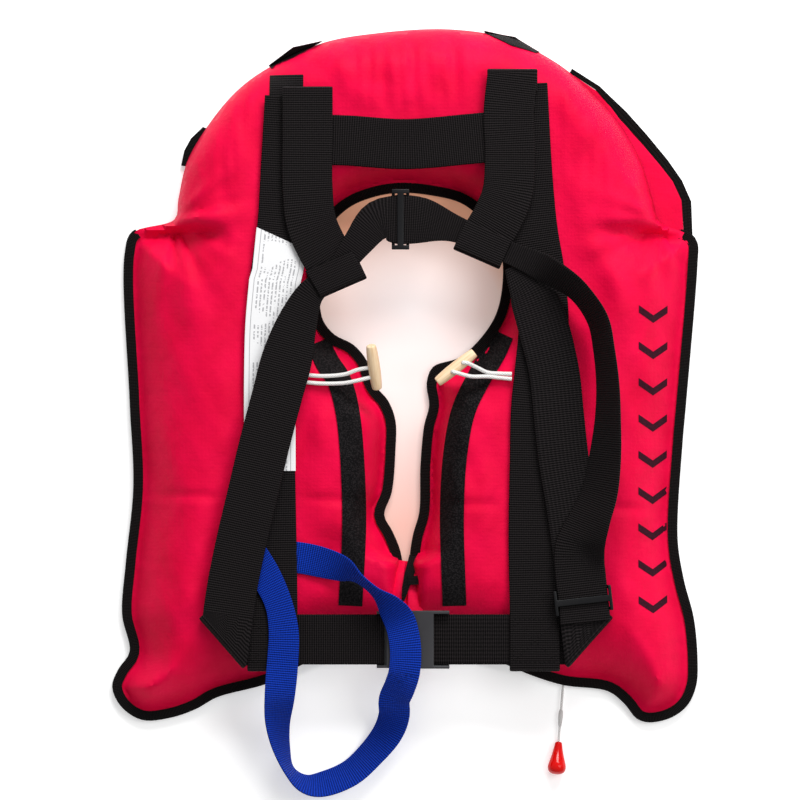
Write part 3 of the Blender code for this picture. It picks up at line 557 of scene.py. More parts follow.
def bladder_material():
    """Coated airtight cloth: a smooth film over a fine weave."""
    s = Shading("bladder_cloth_look", (0.85, 0.62, 0.05), 0.45)
    place = s.coordinates()
    weave = s.weave(place, 0.0009)
    crinkle = s.bump(s.noise(place, 0.012, 4.0), 0.0010, 0.5)
    colour = s.ramp(s.noise(place, 0.03), [(0.3, (0.80, 0.56, 0.04)), (0.7, (0.88, 0.66, 0.06))])
    return s.finish(Base_Color=colour, Normal=s.bump(weave, 0.0001, 0.4, crinkle))


def print_material():
    """Dark ink on the nylon, worn in places."""
    s = Shading("dark_print_look", (0.030, 0.005, 0.012), 0.7)
    place = s.coordinates()
    weave = s.weave(place, NYLON_WEAVE)
    crinkle = s.noise(place, 0.007, 5.0, 0.62)
    wear = s.noise(place, 0.0016, 4.0)
    worn = s.ramp(wear, [(0.3, (0.020, 0.003, 0.009)), (0.8, (0.060, 0.005, 0.016))])
    normal = s.bump(weave, 0.0002, 0.5, s.bump(crinkle, 0.0011, 0.5))
    return s.finish(Base_Color=worn, Normal=normal, Specular_IOR_Level=0.08)


def thread_material(name, colour):
    """Twisted sewing thread."""
    s = Shading(name, colour, 0.6)
    twist = s.wave(s.coordinates(), 0.0007, "DIAGONAL")
    return s.finish(Normal=s.bump(twist, 0.0002, 0.6), Specular_IOR_Level=0.1)


# A finish is a material and the slot that it fills
NYLON = nylon_material(), "red_nylon"
# Each webbing's second colour is its lighter crest colour, a painted sheen
BLACK = webbing_material(
    "black_webbing_look", (0.0012, 0.0009, 0.0010), (0.021, 0.0165, 0.0175), 0.0018
), "black_webbing"
EDGE_TAPE = webbing_material(
    "black_binding_look", (0.0014, 0.0012, 0.0012), (0.012, 0.010, 0.010), 0.0012
), "black_binding"
BLUE = webbing_material(
    "blue_webbing_look", (0.002, 0.014, 0.17), (0.003, 0.056, 0.60), 0.0018
), "blue_webbing"
HOOKS = hook_material(), "black_binding"
PLASTIC = plastic_material("dark_plastic_look", (0.028, 0.027, 0.031), 0.40), "dark_plastic"
BLACK_PLASTIC = plastic_material("black_plastic_look", (0.005, 0.005, 0.006), 0.38, 0.22), "dark_plastic"
BLADDER_CLOTH = bladder_material(), "bladder_cloth"
GLOSS = gloss_material(), "red_plastic"
WOOD = wood_material(), "wood"
CORD = cord_material(), "white_cord"
LABEL = label_material(), "white_label"
PRINT = print_material(), "red_nylon"
BLACK_THREAD = thread_material("black_thread", (0.0060, 0.0050, 0.0052)), "black_webbing"
BLUE_THREAD = thread_material("blue_thread", (0.003, 0.020, 0.20)), "blue_webbing"
TAB_WEBBING = BLACK[0], "black_binding"


# ---------------------------------------------------------------- building pieces


def add_object(name, data):
    made = bpy.data.objects.new(name, data)
    bpy.context.scene.collection.objects.link(made)
    return made


def add_mesh(name, build, material):
    mesh = bpy.data.meshes.new(name)
    build.to_mesh(mesh)
    build.free()
    mesh.materials.append(material)
    return add_object(name, mesh)


def add_piece(name, build, finish, body="jacket", replaces=(), smooth=True):
    """A bmesh as a shown piece that rides on a body and stands for its CAD nodes."""
    material, slot = finish
    bmesh.ops.recalc_face_normals(build, faces=build.faces)
    made = add_mesh(name, build, material)
    if smooth:
        made.data.shade_smooth()
        made.data.set_sharp_from_angle(angle=math.radians(50))
    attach(made, body)
    if replaces:
        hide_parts(*replaces)
    return made


def face_up(made):
    if sum(polygon.normal.z for polygon in made.data.polygons) < 0:
        made.data.flip_normals()


def skin_rings(rings, uv_at):
    """A closed skin over rings of points; uv_at gives the UV of a point by its side and its row."""
    build = bmesh.new()
    layer = build.loops.layers.uv.new("length")
    rings = [[build.verts.new(point) for point in ring] for ring in rings]
    count = len(rings[0])
    for row, (first, second) in enumerate(zip(rings, rings[1:])):
        for side in range(count):
            following = (side + 1) % count
            face = build.faces.new((first[side], first[following], second[following], second[side]))
            corners = ((side, row), (side + 1, row), (side + 1, row + 1), (side, row + 1))
            for loop, corner in zip(face.loops, corners):
                loop[layer].uv = uv_at(*corner)
    build.faces.new(rings[0][::-1])
    build.faces.new(rings[-1])
    return build


def strip(name, stations, thickness, finish, profile=None, **options):
    """Webbing or tape along stations (left, right, normal), with a section and a length-wise UV."""
    profile = profile or webbing_profile()
    middles = [(left + right) / 2 for left, right, _ in stations]
    lengths = [0.0]
    for first, second in zip(middles, middles[1:]):
        lengths.append(lengths[-1] + (second - first).length)
    rings = []
    for (left, right, normal), middle in zip(stations, middles):
        half = (left - right) / 2
        lift = Vector(normal) * thickness / 2
        rings.append([middle + half * across + lift * up for across, up in profile])
    half_width = (stations[0][0] - stations[0][1]).length / 2
    widths = [across * half_width for across, _ in profile]
    build = skin_rings(rings, lambda side, row: (widths[side % len(widths)], lengths[row]))
    return add_piece(name, build, finish, **options)


def webbing_profile():
    """Section of a strap from -1 to 1 each way, with rounded selvedges."""
    top = [(1.0, 0.0), (0.985, 0.6), (0.95, 0.92), (0.85, 1.0), (0.45, 0.94), (0.0, 0.92)]
    top += [(-across, up) for across, up in top[-2::-1]]
    return top + [(across, -up) for across, up in top[-2:0:-1]]


def layer_height(layer):
    return FIRST_LAYER + layer * LAYER_PITCH + LAYER_MIDDLE


def on_layer(points, layer):
    """Rows of a strap on its layer. A point may name its own width and tilt."""
    rows = []
    for x, y, *own in points:
        width, tilt = own + [WEBBING_WIDTH, 0][len(own):]
        rows.append((x, y, layer_height(layer), width, tilt))
    return rows


def strap_stations(rows, step=0.005):
    """Stations along a smooth route of (x, y, height, width, tilt) rows.

    A tilt in degrees stands the strap up on its right edge.
    """
    line = smooth_line(in_metres(rows), step)
    stations = []
    for row, side in zip(line, side_vectors(line)):
        side.normalize()
        width = row[3]
        tilt = math.radians(row[4] / MM)
        across = Vector((side.x * math.cos(tilt), side.y * math.cos(tilt), math.sin(tilt)))
        normal = Vector((-side.x * math.sin(tilt), -side.y * math.sin(tilt), math.cos(tilt)))
        middle = Vector((row[0], row[1], row[2] + width / 2 * math.sin(tilt)))
        stations.append((middle + across * width / 2, middle - across * width / 2, normal))
    return stations


FOLD_PARTS = 8


def fold_stations(left, right, layer_before, layer_after, outward, facing=1):
    """The round turn of a strap about a crease, from layer to layer."""
    left, right = in_metres((left, right))
    outward = Vector((*outward, 0.0)).normalized()
    before, after = layer_height(layer_before) * MM, layer_height(layer_after) * MM
    middle, radius = (before + after) / 2, (before - after) / 2
    stations = []
    for part in range(FOLD_PARTS + 1):
        angle = math.pi * part / FOLD_PARTS
        bulge = outward * abs(radius) * math.sin(angle) * 0.8
        height = middle + radius * math.cos(angle)
        normal = Vector((0, 0, facing * math.cos(angle))) + outward * math.sin(angle)
        stations.append((at_height(left, height) + bulge, at_height(right, height) + bulge, normal))
    return stations


def edge_stations(pairs, height, facing=1, step=0.006):
    """Stations between pairs of left and right edge points, in millimetres."""
    lefts = [Vector(left) * MM for left, _ in pairs]
    rights = [Vector(right) * MM for _, right in pairs]
    up = Vector((0.0, 0.0, facing))
    stations = []
    for index in range(len(pairs) - 1):
        count = max(1, round((lefts[index + 1] - lefts[index]).length / step))
        for part in range(count):
            share = part / count
            left = lefts[index].lerp(lefts[index + 1], share)
            right = rights[index].lerp(rights[index + 1], share)
            stations.append((at_height(left, height), at_height(right, height), up))
    stations.append((at_height(lefts[-1], height), at_height(rights[-1], height), up))
    return stations


def turned_round(stations):
    return [(right, left, normal) for left, right, normal in reversed(stations)]


def soften(stations, amount=0.0004, size=0.03):
    """Slight waviness in the lay of a strap."""

    def lifted(point, seed):
        lift = noise.noise(Vector((point.x / size, point.y / size, seed))) * amount
        return point + Vector((0, 0, lift))

    return [(lifted(left, 1.0), lifted(right, 4.0), normal) for left, right, normal in stations]


CORD_SIDES = 14
CORD_STEP = 0.0015
TURNED_SIDES = 40
TURNED_SIDE_UV = 0.0008


def ring_angles(count):
    return [2 * math.pi * side / count for side in range(count)]


def tube(name, points, radius, finish, **options):
    """A round cord as a mesh, with a length-wise UV."""
    line = smooth_line(in_metres(points), CORD_STEP)
    rings = []
    for index, point in enumerate(line):
        ahead = line[min(index + 1, len(line) - 1)] - line[max(index - 1, 0)]
        out = UP.cross(ahead).normalized()
        up = ahead.cross(out).normalized()
        rings.append([
            point + (out * math.cos(angle) + up * math.sin(angle)) * radius
            for angle in ring_angles(CORD_SIDES)
        ])
    around = 2 * math.pi * radius / CORD_SIDES
    build = skin_rings(rings, lambda side, row: (side * around, row * CORD_STEP))
    return add_piece(name, build, finish, **options), line


def turned(name, profile, base, direction, finish, **options):
    """A solid of revolution from (along, radius) pairs in millimetres."""
    turn = UP.rotation_difference(Vector(direction)).to_matrix()
    rings = []
    for along, radius in profile:
        ring = []
        for angle in ring_angles(TURNED_SIDES):
            offset = Vector((radius * math.cos(angle), radius * math.sin(angle), along)) * MM
            ring.append(Vector(base) + turn @ offset)
        rings.append(ring)
    build = skin_rings(rings, lambda side, row: (side * TURNED_SIDE_UV, profile[row][0] * MM))
    return add_piece(name, build, finish, **options)


def rounded_profile(points):
    """A profile with its corners cut smooth three times, by Chaikin's rule."""
    for _ in range(3):
        line = [points[0]]
        for (a, b), (c, d) in zip(points, points[1:]):
            line.append((a * 0.75 + c * 0.25, b * 0.75 + d * 0.25))
            line.append((a * 0.25 + c * 0.75, b * 0.25 + d * 0.75))
        points = line + [points[-1]]
    return points


MOULDED_EDGE = 0.0006


def moulded(node, finish, body):
    """The CAD node's shape with rounded moulded edges."""
    build = bmesh.new()
    build.from_mesh(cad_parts[node].data)
    bmesh.ops.remove_doubles(build, verts=build.verts, dist=1e-6)
    bmesh.ops.dissolve_limit(
        build, angle_limit=math.radians(1), verts=build.verts, edges=build.edges
    )
    made = add_piece(f"{node}_look", build, finish, body=body, replaces=[node], smooth=False)
    rounding = made.modifiers.new("moulded edges", "BEVEL")
    rounding.width = MOULDED_EDGE
    rounding.segments = 3
    rounding.limit_method = "ANGLE"
    rounding.angle_limit = math.radians(40)
    made.data.shade_smooth()


STITCH_LENGTH = 0.0026
STITCH_GAP = 0.0012
STITCH_WIDTH = 0.00045


def stitches(name, routes, finish):
    """Rows of short raised threads along polylines of points in metres."""
    build = bmesh.new()
    for route in routes:
        rest = 0.0
        for start, end in zip(route, route[1:]):
            run = end - start
            ahead = run.normalized()
            side = Vector((-ahead.y, ahead.x, 0.0)).normalized() * STITCH_WIDTH
            at = rest
            while at + STITCH_LENGTH < run.length:
                add_stitch(build, start + ahead * at, start + ahead * (at + STITCH_LENGTH), side)
                at += STITCH_LENGTH + STITCH_GAP
            rest = max(0.0, at - run.length)
    add_piece(name, build, finish)


def add_stitch(build, first, last, side):
    middle = (first + last) / 2 + UP * STITCH_WIDTH
    ends = [build.verts.new(first), build.verts.new(last)]
    sides = [build.verts.new(middle + side), build.verts.new(middle - side)]
    top = build.verts.new(middle + UP * STITCH_WIDTH * 0.5)
    base = build.verts.new(middle - UP * STITCH_WIDTH * 1.6)
    for peak in (top, base):
        for end in ends:
            for flank in sides:
                build.faces.new((end, flank, peak))


def box_of_stitches(corners):
    """A sewn box with a cross inside it, from its corners in millimetres."""
    points = in_metres(corners)
    return [points + points[:1], [points[0], points[2]], [points[1], points[3]]]


# ---------------------------------------------------------------- the jacket


ROW_PITCH = 0.866  # rows of a net of equal-sided triangles, as a share of their side


def cover_mesh(name, outline, spacing, height_of, finish, thickness, **options):
    """A fine triangulated sheet inside an outline, raised to its height."""
    flat = np.array([point[:2] for point in outline])
    low, high = flat.min(axis=0), flat.max(axis=0)
    rows = int((high[1] - low[1]) / (spacing * ROW_PITCH))
    columns = int((high[0] - low[0]) / spacing) + 1
    grid = np.array([
        (low[0] + (column + row % 2 / 2) * spacing, low[1] + row * spacing * ROW_PITCH)
        for row in range(1, rows + 1) for column in range(columns)
    ])
    away, _, side = line_distance(grid, outline, closed=True)
    grid = grid[(away > spacing * 0.5) & (side < 0)]
    corners = [Vector(point) for point in (*flat, *grid)]
    count = len(flat)
    edges = [(index, (index + 1) % count) for index in range(count)]
    places, _, faces, *_ = delaunay_2d_cdt(corners, edges, [], 1, 1e-7)
    heights = height_of(places)
    build = bmesh.new()
    verts = [build.verts.new((*place, height)) for place, height in zip(places, heights)]
    for face in faces:
        build.faces.new([verts[index] for index in face])
    made = add_piece(name, build, finish, **options)
    face_up(made)
    shell = made.modifiers.new("cloth", "SOLIDIFY")
    shell.thickness = thickness
    shell.offset = -1
    return made


COVER_CLOTH = 0.0008


def make_covers():
    """Both covers end inside the binding, and nearly at the outline where the collar has none."""
    insets = [0.003] * len(WHOLE_EDGE)
    for index, point in enumerate(EDGES[0]):
        insets[index] -= 0.0025 * float(smooth_step((point.y - COLLAR_START) / 0.012))
    sides = side_vectors(WHOLE_EDGE, closed=True)
    outline = [
        point.to_2d() - side * inset for point, side, inset in zip(WHOLE_EDGE, sides, insets)
    ]
    cover = cover_mesh(
        "inner_cover_look", outline, 0.0036, cover_heights, NYLON, COVER_CLOTH,
        replaces=["inner_cover"],
    )

    def underside(points):
        flat = np.array([point[:2] for point in points])
        return 0.0010 + 0.0006 * (1 + noise_at(flat, (0.05, 0.03), 6.6))

    cover_mesh(
        "outer_cover_look", outline, 0.008, underside, NYLON, COVER_CLOTH, replaces=["outer_cover"]
    )


def make_bladder():
    """The folded bladder fills the covers up to 4 mm below the top."""
    outline = smooth_line(in_metres(BLADDER_EDGE + BLADDER_EDGE[:1]), 0.006)[:-1]

    def under_cover(points):
        return np.minimum(0.036, cover_heights(points) - 0.004)

    bladder = cover_mesh(
        "bladder_look", outline, 0.007, under_cover, BLADDER_CLOTH, 0.006, replaces=["bladder"]
    )


def make_lobe_join():
    """Where the two lobes touch, cloth from one closes the gap, with a small tack at its top."""
    cloth_rows = [
        (1, -149, 12, 16), (0, -158, 25, 26), (0, -175, 32, 28), (0, -195, 34, 28), (0, -222, 33, 26)
    ]
    cloth_profile = [
        (1.0, -7.0), (0.7, -2.5), (0.35, 0.6), (0.15, 0.4), (0.02, -4.5), (-0.10, 1.2), (-0.4, 1.2),
        (-0.7, -2.5), (-1.0, -7.0), (-1.0, -9.0), (1.0, -9.0),
    ]
    tape_rows = [
        (7, -145, 8, 8), (4.5, -154, 22, 8), (2, -162, 31, 7), (-0.5, -172, 35, 5), (-2, -180, 37, 2)
    ]
    tack_rows = [(6, -160, 31, 9), (6, -167, 34, 9)]
    cloth, tape, tack = (
        strap_stations([(*row, 0) for row in rows], 0.003) for rows in (cloth_rows, tape_rows, tack_rows)
    )
    strip("lobe_join_look", soften(cloth, 0.0012, 0.014), 0.0012, NYLON, cloth_profile)
    strip("lobe_edge_tape", tape, 0.0014, EDGE_TAPE)
    strip("lobe_tack", tack, 0.0012, EDGE_TAPE)


def flat_stations(lefts, rights, height):
    return [(at_height(left, height), at_height(right, height), UP) for left, right in zip(lefts, rights)]


def make_binding(name, line, nodes):
    """Edge tape folded over the rim of both covers."""
    stations = flat_stations(line, move_sideways(line, -BINDING_WIDTH * MM), BINDING_MIDDLE)
    stations = soften(stations, 0.0005, 0.03)
    profile = [
        (1.0, 0.0), (0.97, 0.55), (0.85, 0.9), (0.5, 1.0), (-0.3, 1.02), (-0.8, 1.0), (-1.0, 1.1),
        (-1.0, -0.9), (-0.3, -0.95), (0.5, -0.95), (0.85, -0.85), (0.97, -0.5),
    ]
    strip(name, stations, 0.0058, EDGE_TAPE, profile, replaces=nodes)


def make_bindings():
    """The binding is seen at the wings and the bottom, and is rolled under the edge of the collar."""
    outer, neck = EDGES
    collar = [index for index, point in enumerate(outer) if point.y > COLLAR_MIDDLE]
    first, last = collar[0], collar[-1]
    make_binding("outer_binding_left_look", outer[:first + 1], ["outer_binding"])
    make_binding("outer_binding_right_look", outer[last:], [])
    rolled = outer[first + 9:last - 8]
    stations = flat_stations(move_sideways(rolled, -0.004), move_sideways(rolled, -0.0105), 0.0030)
    strip("rolled_binding", stations, 0.0024, EDGE_TAPE)
    open_neck = [point for point in neck if point.y > LOBES_MEET - 0.013]
    make_binding("neck_binding_look", open_neck, ["neck_binding"])


def make_front_flaps():
    """Edges of the front cover that show beyond the collar."""
    panel = [
        ((136, 241), (133, 239)), ((158, 226), (150, 224)), ((172, 206.5), (163, 208)),
        ((188.4, 189), (172, 190)), ((203.8, 170.5), (182, 174)), ((215, 156.5), (190, 155)),
        ((222, 141), (193, 140)), ((224, 111), (203, 115)),
    ]
    right_edge = [
        ((134, 247), (132, 243.5)), ((156, 233), (152.5, 230.5)), ((178, 212), (172.5, 206)),
        ((194.5, 193.5), (188.6, 188.4)), ((211, 173.5), (204, 170)), ((222.5, 157), (215, 156)),
        ((230, 140), (222, 141)), ((231, 112), (224, 113)),
    ]
    left_edge = [
        ((-180.5, 169), (-174, 168)), ((-178, 181), (-168, 179)), ((-172.5, 191), (-162, 187)),
        ((-163, 200), (-155, 197)),
    ]
    cloth = soften(edge_stations(panel, FLAP_MIDDLE), 0.0010, 0.02)
    strip("front_flap_right_look", cloth, COVER_CLOTH, NYLON, replaces=["front_flap_right"])
    for side, pairs in (("right", right_edge), ("left", left_edge)):
        node = f"front_flap_binding_{side}"
        stations = edge_stations(pairs, FLAP_BINDING_MIDDLE)
        strip(f"{node}_look", stations, 0.0034, EDGE_TAPE, replaces=[node])


def draped_strip(node, stations, lift, thickness, finish):
    """A tape laid on the cover: every point of its section follows the cloth."""
    across = [1.0 - 0.2 * step for step in range(11)]
    profile = [(place, 1.0) for place in across] + [(place, -1.0) for place in across[::-1]]
    made = strip(f"{node}_look", stations, thickness, finish, profile, replaces=[node])
    heights = cover_heights([vert.co for vert in made.data.vertices])
    for vert, height in zip(made.data.vertices, heights):
        vert.co.z += height + lift


def flat_rows(rows):
    return strap_stations([(x, y, 0, width, 0) for x, y, width in rows], 0.004)


def make_hook_tapes():
    rows = {
        "left": [
            (-70, 27, 18), (-62, 10, 19), (-53, -4, 19), (-46, -30, 19), (-42, -74, 19),
            (-41, -124, 19), (-44, -184, 19),
        ],
        "right": [
            (79, 33, 15), (72, 20, 18), (61, 2, 19), (47, -26, 19), (40, -60, 19), (37, -110, 19),
            (39, -184, 19),
        ],
    }
    for side in rows:
        draped_strip(f"hook_tape_{side}", flat_rows(rows[side]), 0.0007, 0.0009, HOOKS)


def make_patches():
    tabs = {
        "left": [((-66, 269), (-90, 255)), ((-90, 263), (-104, 250)), ((-110, 249), (-107, 246))],
        "right": [((63, 277), (64, 275)), ((88, 272), (85, 264)), ((108, 260), (104, 259))],
    }
    for side, pairs in tabs.items():
        stations = edge_stations(pairs, 0.0, step=0.004)
        draped_strip(f"collar_tab_{side}", stations, 0.0010, 0.0010, TAB_WEBBING)
    draped_strip("strap_patch", flat_rows([(-95, 222, 27), (-95, 240, 27)]), 0.0010, 0.0010, BLACK)


def black_strap(node, stations):
    strip(f"{node}_look", stations, WEBBING, BLACK, replaces=[node])


def make_lobe_strap(node, route):
    """A strap that folds back under itself below the belt. Returns the routes of its sewn box."""
    crease, under_end = -233, -221
    x = route[-1][0]
    left, right = (x + 20, crease), (x - 20, crease)
    under = [(left, right), ((left[0], under_end), (right[0], under_end))]
    stations = soften(strap_stations(on_layer(route, LOBE)))
    stations += fold_stations(left, right, LOBE, RETURN, (0, -1))
    stations += edge_stations(under, layer_height(RETURN) * MM, -1)
    black_strap(node, stations)
    height = layer_height(LOBE) + 0.85
    corners = [(x - 17, -194), (x + 17, -194), (x + 17, -228), (x - 17, -228)]
    return box_of_stitches([(*corner, height) for corner in corners])


def make_label():
    """The label lies on the left lobe strap and starts at a slanted edge."""
    height = layer_height(LOBE) + 1.15
    top = (-79, 100), (-118.5, 118)
    stations = edge_stations([top, ((-82, 78), (-123, 74))], height * MM, -1)[:-1]
    rows = [*LOBE_ROUTE_LEFT[3:6], (-108, -76)]
    stations += strap_stations([(x, y, height, 41, 0) for x, y in rows])
    strip("care_label_look", soften(stations), 0.0003, LABEL, replaces=["care_label"])


def make_shoulder_strap(node, top, route, crease, flap_end, outward):
    """A strap from under the collar fold to its lower loop, which ends in a flap."""
    x, y = top
    left, right = (x + 20, y), (x - 20, y)
    under = [((left[0], y - 16), (right[0], y - 16)), (left, right)]
    stations = edge_stations(under, layer_height(UNDER) * MM, -1)[:-1]
    stations += fold_stations(left, right, UNDER, SHOULDER, (0, 1), -1)
    stations += soften(strap_stations(on_layer(route, SHOULDER)))
    stations += fold_stations(*crease, SHOULDER, FLAP, outward)
    stations += edge_stations([crease, flap_end], layer_height(FLAP) * MM, -1)[1:]
    black_strap(node, stations)


def make_straps():
    sewn = make_lobe_strap("lobe_strap_left", LOBE_ROUTE_LEFT)
    sewn += make_lobe_strap("lobe_strap_right", LOBE_ROUTE_RIGHT)
    make_shoulder_strap(
        "shoulder_strap_left", (-78, 228), SHOULDER_LEFT, ((-31.6, 79.6), (-68.4, 63.6)),
        ((-42.8, 98.8), (-79.6, 82.8)), (0.385, -0.923),
    )
    make_shoulder_strap(
        "shoulder_strap_right", (85, 242), SHOULDER_RIGHT, ((75.6, 86.8), (38.8, 102.8)),
        ((84.4, 107), (47.6, 123)), (-0.4, -0.917),
    )
    black_strap("collar_strap", soften(strap_stations(on_layer(COLLAR_ROUTE, UNDER))))
    stitches("black_stitching", sewn, BLACK_THREAD)


def belt_pairs(start_x, end_x, left_y, right_y):
    return [((x, left_y), (x, right_y)) for x in (start_x, end_x)]


def make_back_strap():
    left = soften(strap_stations(on_layer(LEFT_BACK_ROUTE, BACK)))
    corner = ((-126, BELT_BOTTOM), (-161, BELT_TOP))
    left += fold_stations(*corner, BACK, BELT, (-0.75, -0.66))
    left += edge_stations(belt_pairs(-104, -17, BELT_BOTTOM, BELT_TOP), layer_height(BELT) * MM, -1)
    right = strap_stations(on_layer(RIGHT_BACK_ROUTE, BACK), 0.004)
    black_strap("back_strap", turned_round(left) + right)


def make_waist_strap():
    stations = soften(strap_stations(on_layer(WAIST_ROUTE, SHOULDER)))
    corner = ((162.6, BELT_TOP), (127, BELT_BOTTOM))
    stations += fold_stations(*corner, SHOULDER, BELT, (0.75, -0.66))
    stations += edge_stations(belt_pairs(104, 18, BELT_TOP, BELT_BOTTOM), layer_height(BELT) * MM, -1)
    black_strap("right_waist_strap", stations)


def make_crotch_strap():
    full = [(*row, BLUE_WIDTH, 0)[:5] for row in BLUE_ROUTE]
    stations = strap_stations(full, 0.004)
    strap = strip("crotch_strap_look", stations, 0.0016, BLUE, replaces=["crotch_strap"])
    corners = [(-12, -238, 49.6), (9, -238, 49.6), (5, -250, 44.2), (-15, -249, 44.2)]
    stitches("blue_stitching", box_of_stitches(corners), BLUE_THREAD)


def make_plastics():
    for node, finish, body in (
        ("buckle_socket", PLASTIC, "jacket"), ("buckle_plug", PLASTIC, "jacket"),
        ("buckle_prong_upper", PLASTIC, "upper_prong"), ("buckle_prong_lower", PLASTIC, "lower_prong"),
        ("strap_adjuster", BLACK_PLASTIC, "adjuster"), ("neck_slider", BLACK_PLASTIC, "slider"),
    ):
        moulded(node, finish, body)


TOGGLE_LENGTH = 38
CORD_RADIUS = 0.0016


def make_toggles():
    profile = rounded_profile(
        [(0, 0.4), (0, 3.4), (1.2, 4.0), (8, 4.6), (19, 4.9), (30, 4.6), (36.8, 4.0), (38, 3.4), (38, 0.4)]
    )
    for side, middle, degrees, rise in (
        ("left", (-25, 6.5, 47.2), 98, 0.42), ("right", (40, 6.4, 47.2), 38.5, 0.0),
    ):
        angle = math.radians(degrees)
        direction = Vector((math.cos(angle), math.sin(angle), rise)).normalized()
        base = Vector(middle) * MM - direction * TOGGLE_LENGTH / 2 * MM
        toggle = turned(
            f"wood_toggle_{side}_look", profile, base, direction, WOOD,
            body=f"{side}_toggle", replaces=[f"wood_toggle_{side}"],
        )
        make_toggle_cords(side)


TOGGLE_CORDS = {
    "left": {
        "upper": [(-85, 1, 43.4), (-66, -0.5, 43.4), (-48, 1, 44), (-38, 4.5, 46), (-27.5, 6.4, 47.2)],
        "lower": [(-85, -5, 43.4), (-66, -6.5, 43.4), (-48, -6, 44), (-38, -4, 45.4), (-26.5, -1.2, 45.2)],
    },
    "right": {
        "upper": [
            (84.6, 1.2, 43.4), (75, 1.5, 43.4), (65.5, 2.3, 44.5), (57, 6.2, 47.5), (49, 9.8, 52),
            (46, 10.2, 52.6), (45.4, 10.3, 49),
        ],
        "lower": [
            (84.6, -2.8, 43.4), (75, -1.9, 43.4), (65.5, -0.9, 44.5), (52, -0.8, 48.5), (41, 2.0, 52.4),
            (37.8, 2.8, 52.8), (36.9, 3.2, 49),
        ],
    },
}


def make_toggle_cords(side):
    for run, points in TOGGLE_CORDS[side].items():
        name = f"toggle_cord_{side}_{run}"
        piece, line = tube(
            f"{name}_look", points, CORD_RADIUS, CORD, body=f"{side}_toggle", replaces=[name]
        )


def make_pull():
    start, end = Vector((132.0, -183.2, 2.9)), Vector((123.2, -294.4, 2.9))
    profile = rounded_profile([
        (0, 0.6), (0, 2.2), (0.8, 2.9), (6, 3.7), (12, 5.2), (17, 6.8), (21, 7.6), (24.4, 6.4),
        (26, 3.6), (26.3, 0.4),
    ])
    along = (end - start).normalized()
    lean = UP * math.tan(math.radians(12.6))
    handle = turned(
        "pull_handle_look", profile, (end + along * 0.3) * MM, along + lean, GLOSS,
        body="pull", replaces=["pull_handle"],
    )
    knot_profile = rounded_profile([(0, 0.9), (1.5, 1.7), (5, 2.0), (9, 1.7), (13, 1.4), (14, 0.9)])
    knot = turned(
        "pull_cord_splice", knot_profile, (end - along * 26) * MM, along, CORD, body="pull"
    )
    cord, line = tube(
        "pull_cord_look", [start, end], 0.0010, CORD, body="pull", replaces=["pull_cord"]
    )


def make_print():
    """Plain chevrons down the right wing, in place of the printed word."""
    build = bmesh.new()
    count, top, pitch = 9, 56, 29
    left, tip, right, deep, arm = 186, 198, 210, 8, 6
    parts = 3
    for index in range(count):
        y = top - index * pitch
        columns = [
            ((x, edge), (x, edge - arm)) for x, edge in ((left, y), (tip, y - deep), (right, y))
        ]
        rows = edge_stations(columns, 0.0, step=0.003)
        flat = []
        for upper, lower, _ in rows:
            flat += [upper.lerp(lower, part / parts).to_2d() for part in range(parts + 1)]
        heights = cover_heights(flat)
        verts = [build.verts.new((*place, height + 0.0003)) for place, height in zip(flat, heights)]
        for row in range(len(rows) - 1):
            for part in range(parts):
                a = row * (parts + 1) + part
                below = a + parts + 1
                build.faces.new((verts[a], verts[a + 1], verts[below + 1], verts[below]))
    face_up(add_piece("printed_chevrons", build, PRINT))


# ---------------------------------------------------------------- studio


def make_camera():
    camera = bpy.data.cameras.new("overhead")
    camera.sensor_width = SENSOR
    camera.lens = SENSOR * VIEW_DISTANCE / VIEW_WIDTH
    camera.clip_end = 20.0
    holder = add_object("overhead", camera)
    holder.location = (*VIEW_CENTRE, VIEW_DISTANCE + VIEW_LEVEL)
    bpy.context.scene.camera = holder


def add_area_light(name, place, size, power):
    """A soft light aimed at the origin."""
    lamp = bpy.data.lights.new(name, "AREA")
    lamp.shape = "RECTANGLE"
    lamp.size, lamp.size_y = size
    lamp.energy = power
    holder = add_object(name, lamp)
    holder.location = place
    holder.rotation_euler = (-Vector(place)).to_track_quat("-Z", "Y").to_euler()


# Where the painted bounce light and shade lie on the table, under the neck hole
HOLE_CENTRE = (0.004, 0.052)
HOLE_REACH = (0.098, 0.080)


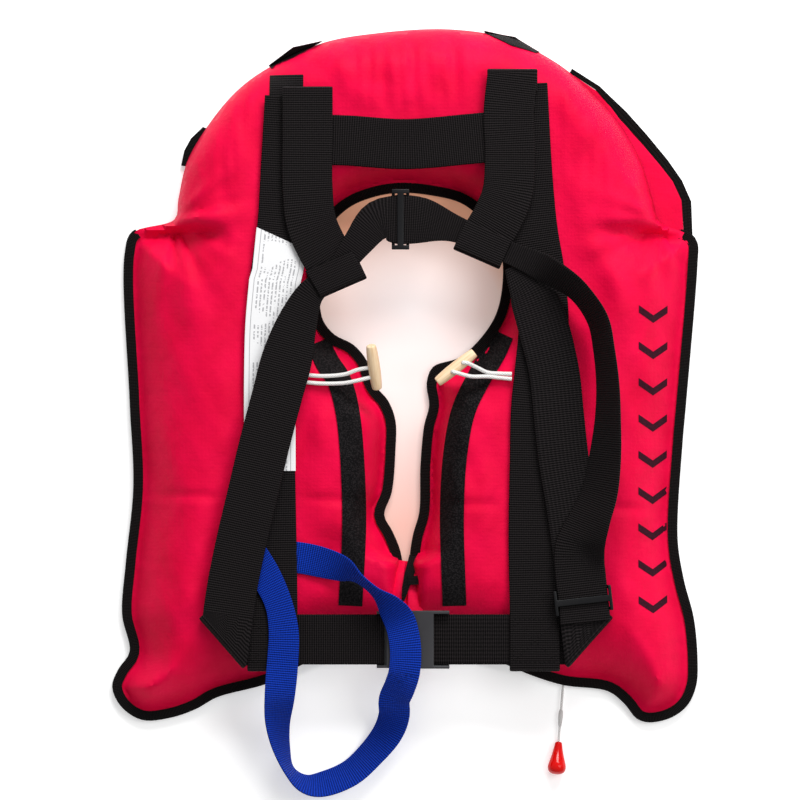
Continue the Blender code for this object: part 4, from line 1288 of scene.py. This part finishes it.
def table_material():
    """A white, faintly glowing table with painted warm bounce light from the covers and painted shade
    inside the neck hole and the slot.
    """
    s = Shading("table_painted_bounce_look", (0.93, 0.93, 0.93), 0.6)
    place = s.coordinates()
    parts = s.node("ShaderNodeSeparateXYZ", {"Vector": place})
    x, y = parts.outputs["X"], parts.outputs["Y"]
    across = s.math("DIVIDE", s.math("SUBTRACT", x, HOLE_CENTRE[0]), HOLE_REACH[0])
    up = s.math("DIVIDE", s.math("SUBTRACT", y, HOLE_CENTRE[1]), HOLE_REACH[1])
    reach = s.math("SQRT", s.math("ADD", s.times(across, across), s.times(up, up)))
    beside = s.math("LESS_THAN", s.math("ABSOLUTE", across), 1.6)
    lengthwise = s.math("LESS_THAN", s.math("ABSOLUTE", s.math("ADD", y, 0.0075)), 0.2075)
    within = s.times(beside, lengthwise)
    top_share = s.rise(y, -0.01, 0.05)
    amount = s.times(s.times(reach, top_share), within)
    # Painted bounce light and shade: warm and darker near the rim of the neck hole, most at its top under
    # the collar
    colour = s.ramp(s.math("DIVIDE", amount, 1.6), [
        (0.0, (0.95, 0.95, 0.95)), (0.22, (0.93, 0.86, 0.84)), (0.46, (0.85, 0.70, 0.64)),
        (0.60, (0.84, 0.46, 0.30)), (0.80, (0.84, 0.44, 0.28)), (1.0, (0.84, 0.50, 0.38)),
    ])
    # Painted bounce light and shade in the slot between the lobes: pinker and darker towards the bottom
    low_share = s.math("MULTIPLY_ADD", s.rise(y, 0.02, -0.12), 0.8, 0.2)
    painted_slot_bounce = s.ramp(
        s.times(low_share, within),
        [(0.0, (1.0, 1.0, 1.0)), (0.2, (0.90, 0.83, 0.82)), (1.0, (0.76, 0.47, 0.40))],
    )
    product = s.node("ShaderNodeVectorMath", {0: colour, 1: painted_slot_bounce}, operation="MULTIPLY")
    painted_bounce_light = product.outputs[0]
    # The table emits its own colour, so the painted bounce light glows
    return s.finish(
        Base_Color=painted_bounce_light, Emission_Color=painted_bounce_light, Emission_Strength=TABLE_GLOW,
        Normal=s.bump(s.noise(place, 0.004), 0.0001, 0.2), Specular_IOR_Level=0.1,
    )


def make_studio():
    build = bmesh.new()
    corners = [(-1, -1), (1, -1), (1, 1), (-1, 1)]
    build.faces.new([
        build.verts.new((x * TABLE_REACH, y * TABLE_REACH, TABLE_LEVEL)) for x, y in corners
    ])
    add_mesh("table", build, table_material())
    world = bpy.data.worlds.new("studio")
    world.use_nodes = True
    background = world.node_tree.nodes["Background"]
    background.inputs["Color"].default_value = (1.0, 1.0, 1.0, 1.0)
    background.inputs["Strength"].default_value = WORLD_LIGHT
    bpy.context.scene.world = world
    add_area_light("soft box", (0.35, 1.75, 1.25), (1.3, 0.8), 46)
    add_area_light("fill", (1.3, 0.3, 1.6), (1.0, 1.0), 13)
    bpy.context.scene.view_settings.view_transform = "Standard"


make_camera()
make_crotch_strap()
make_toggles()
make_pull()
make_covers()
make_bladder()
make_lobe_join()
make_bindings()
make_front_flaps()
make_hook_tapes()
make_patches()
make_straps()
make_label()
make_back_strap()
make_waist_strap()
make_plastics()
make_print()
make_studio()
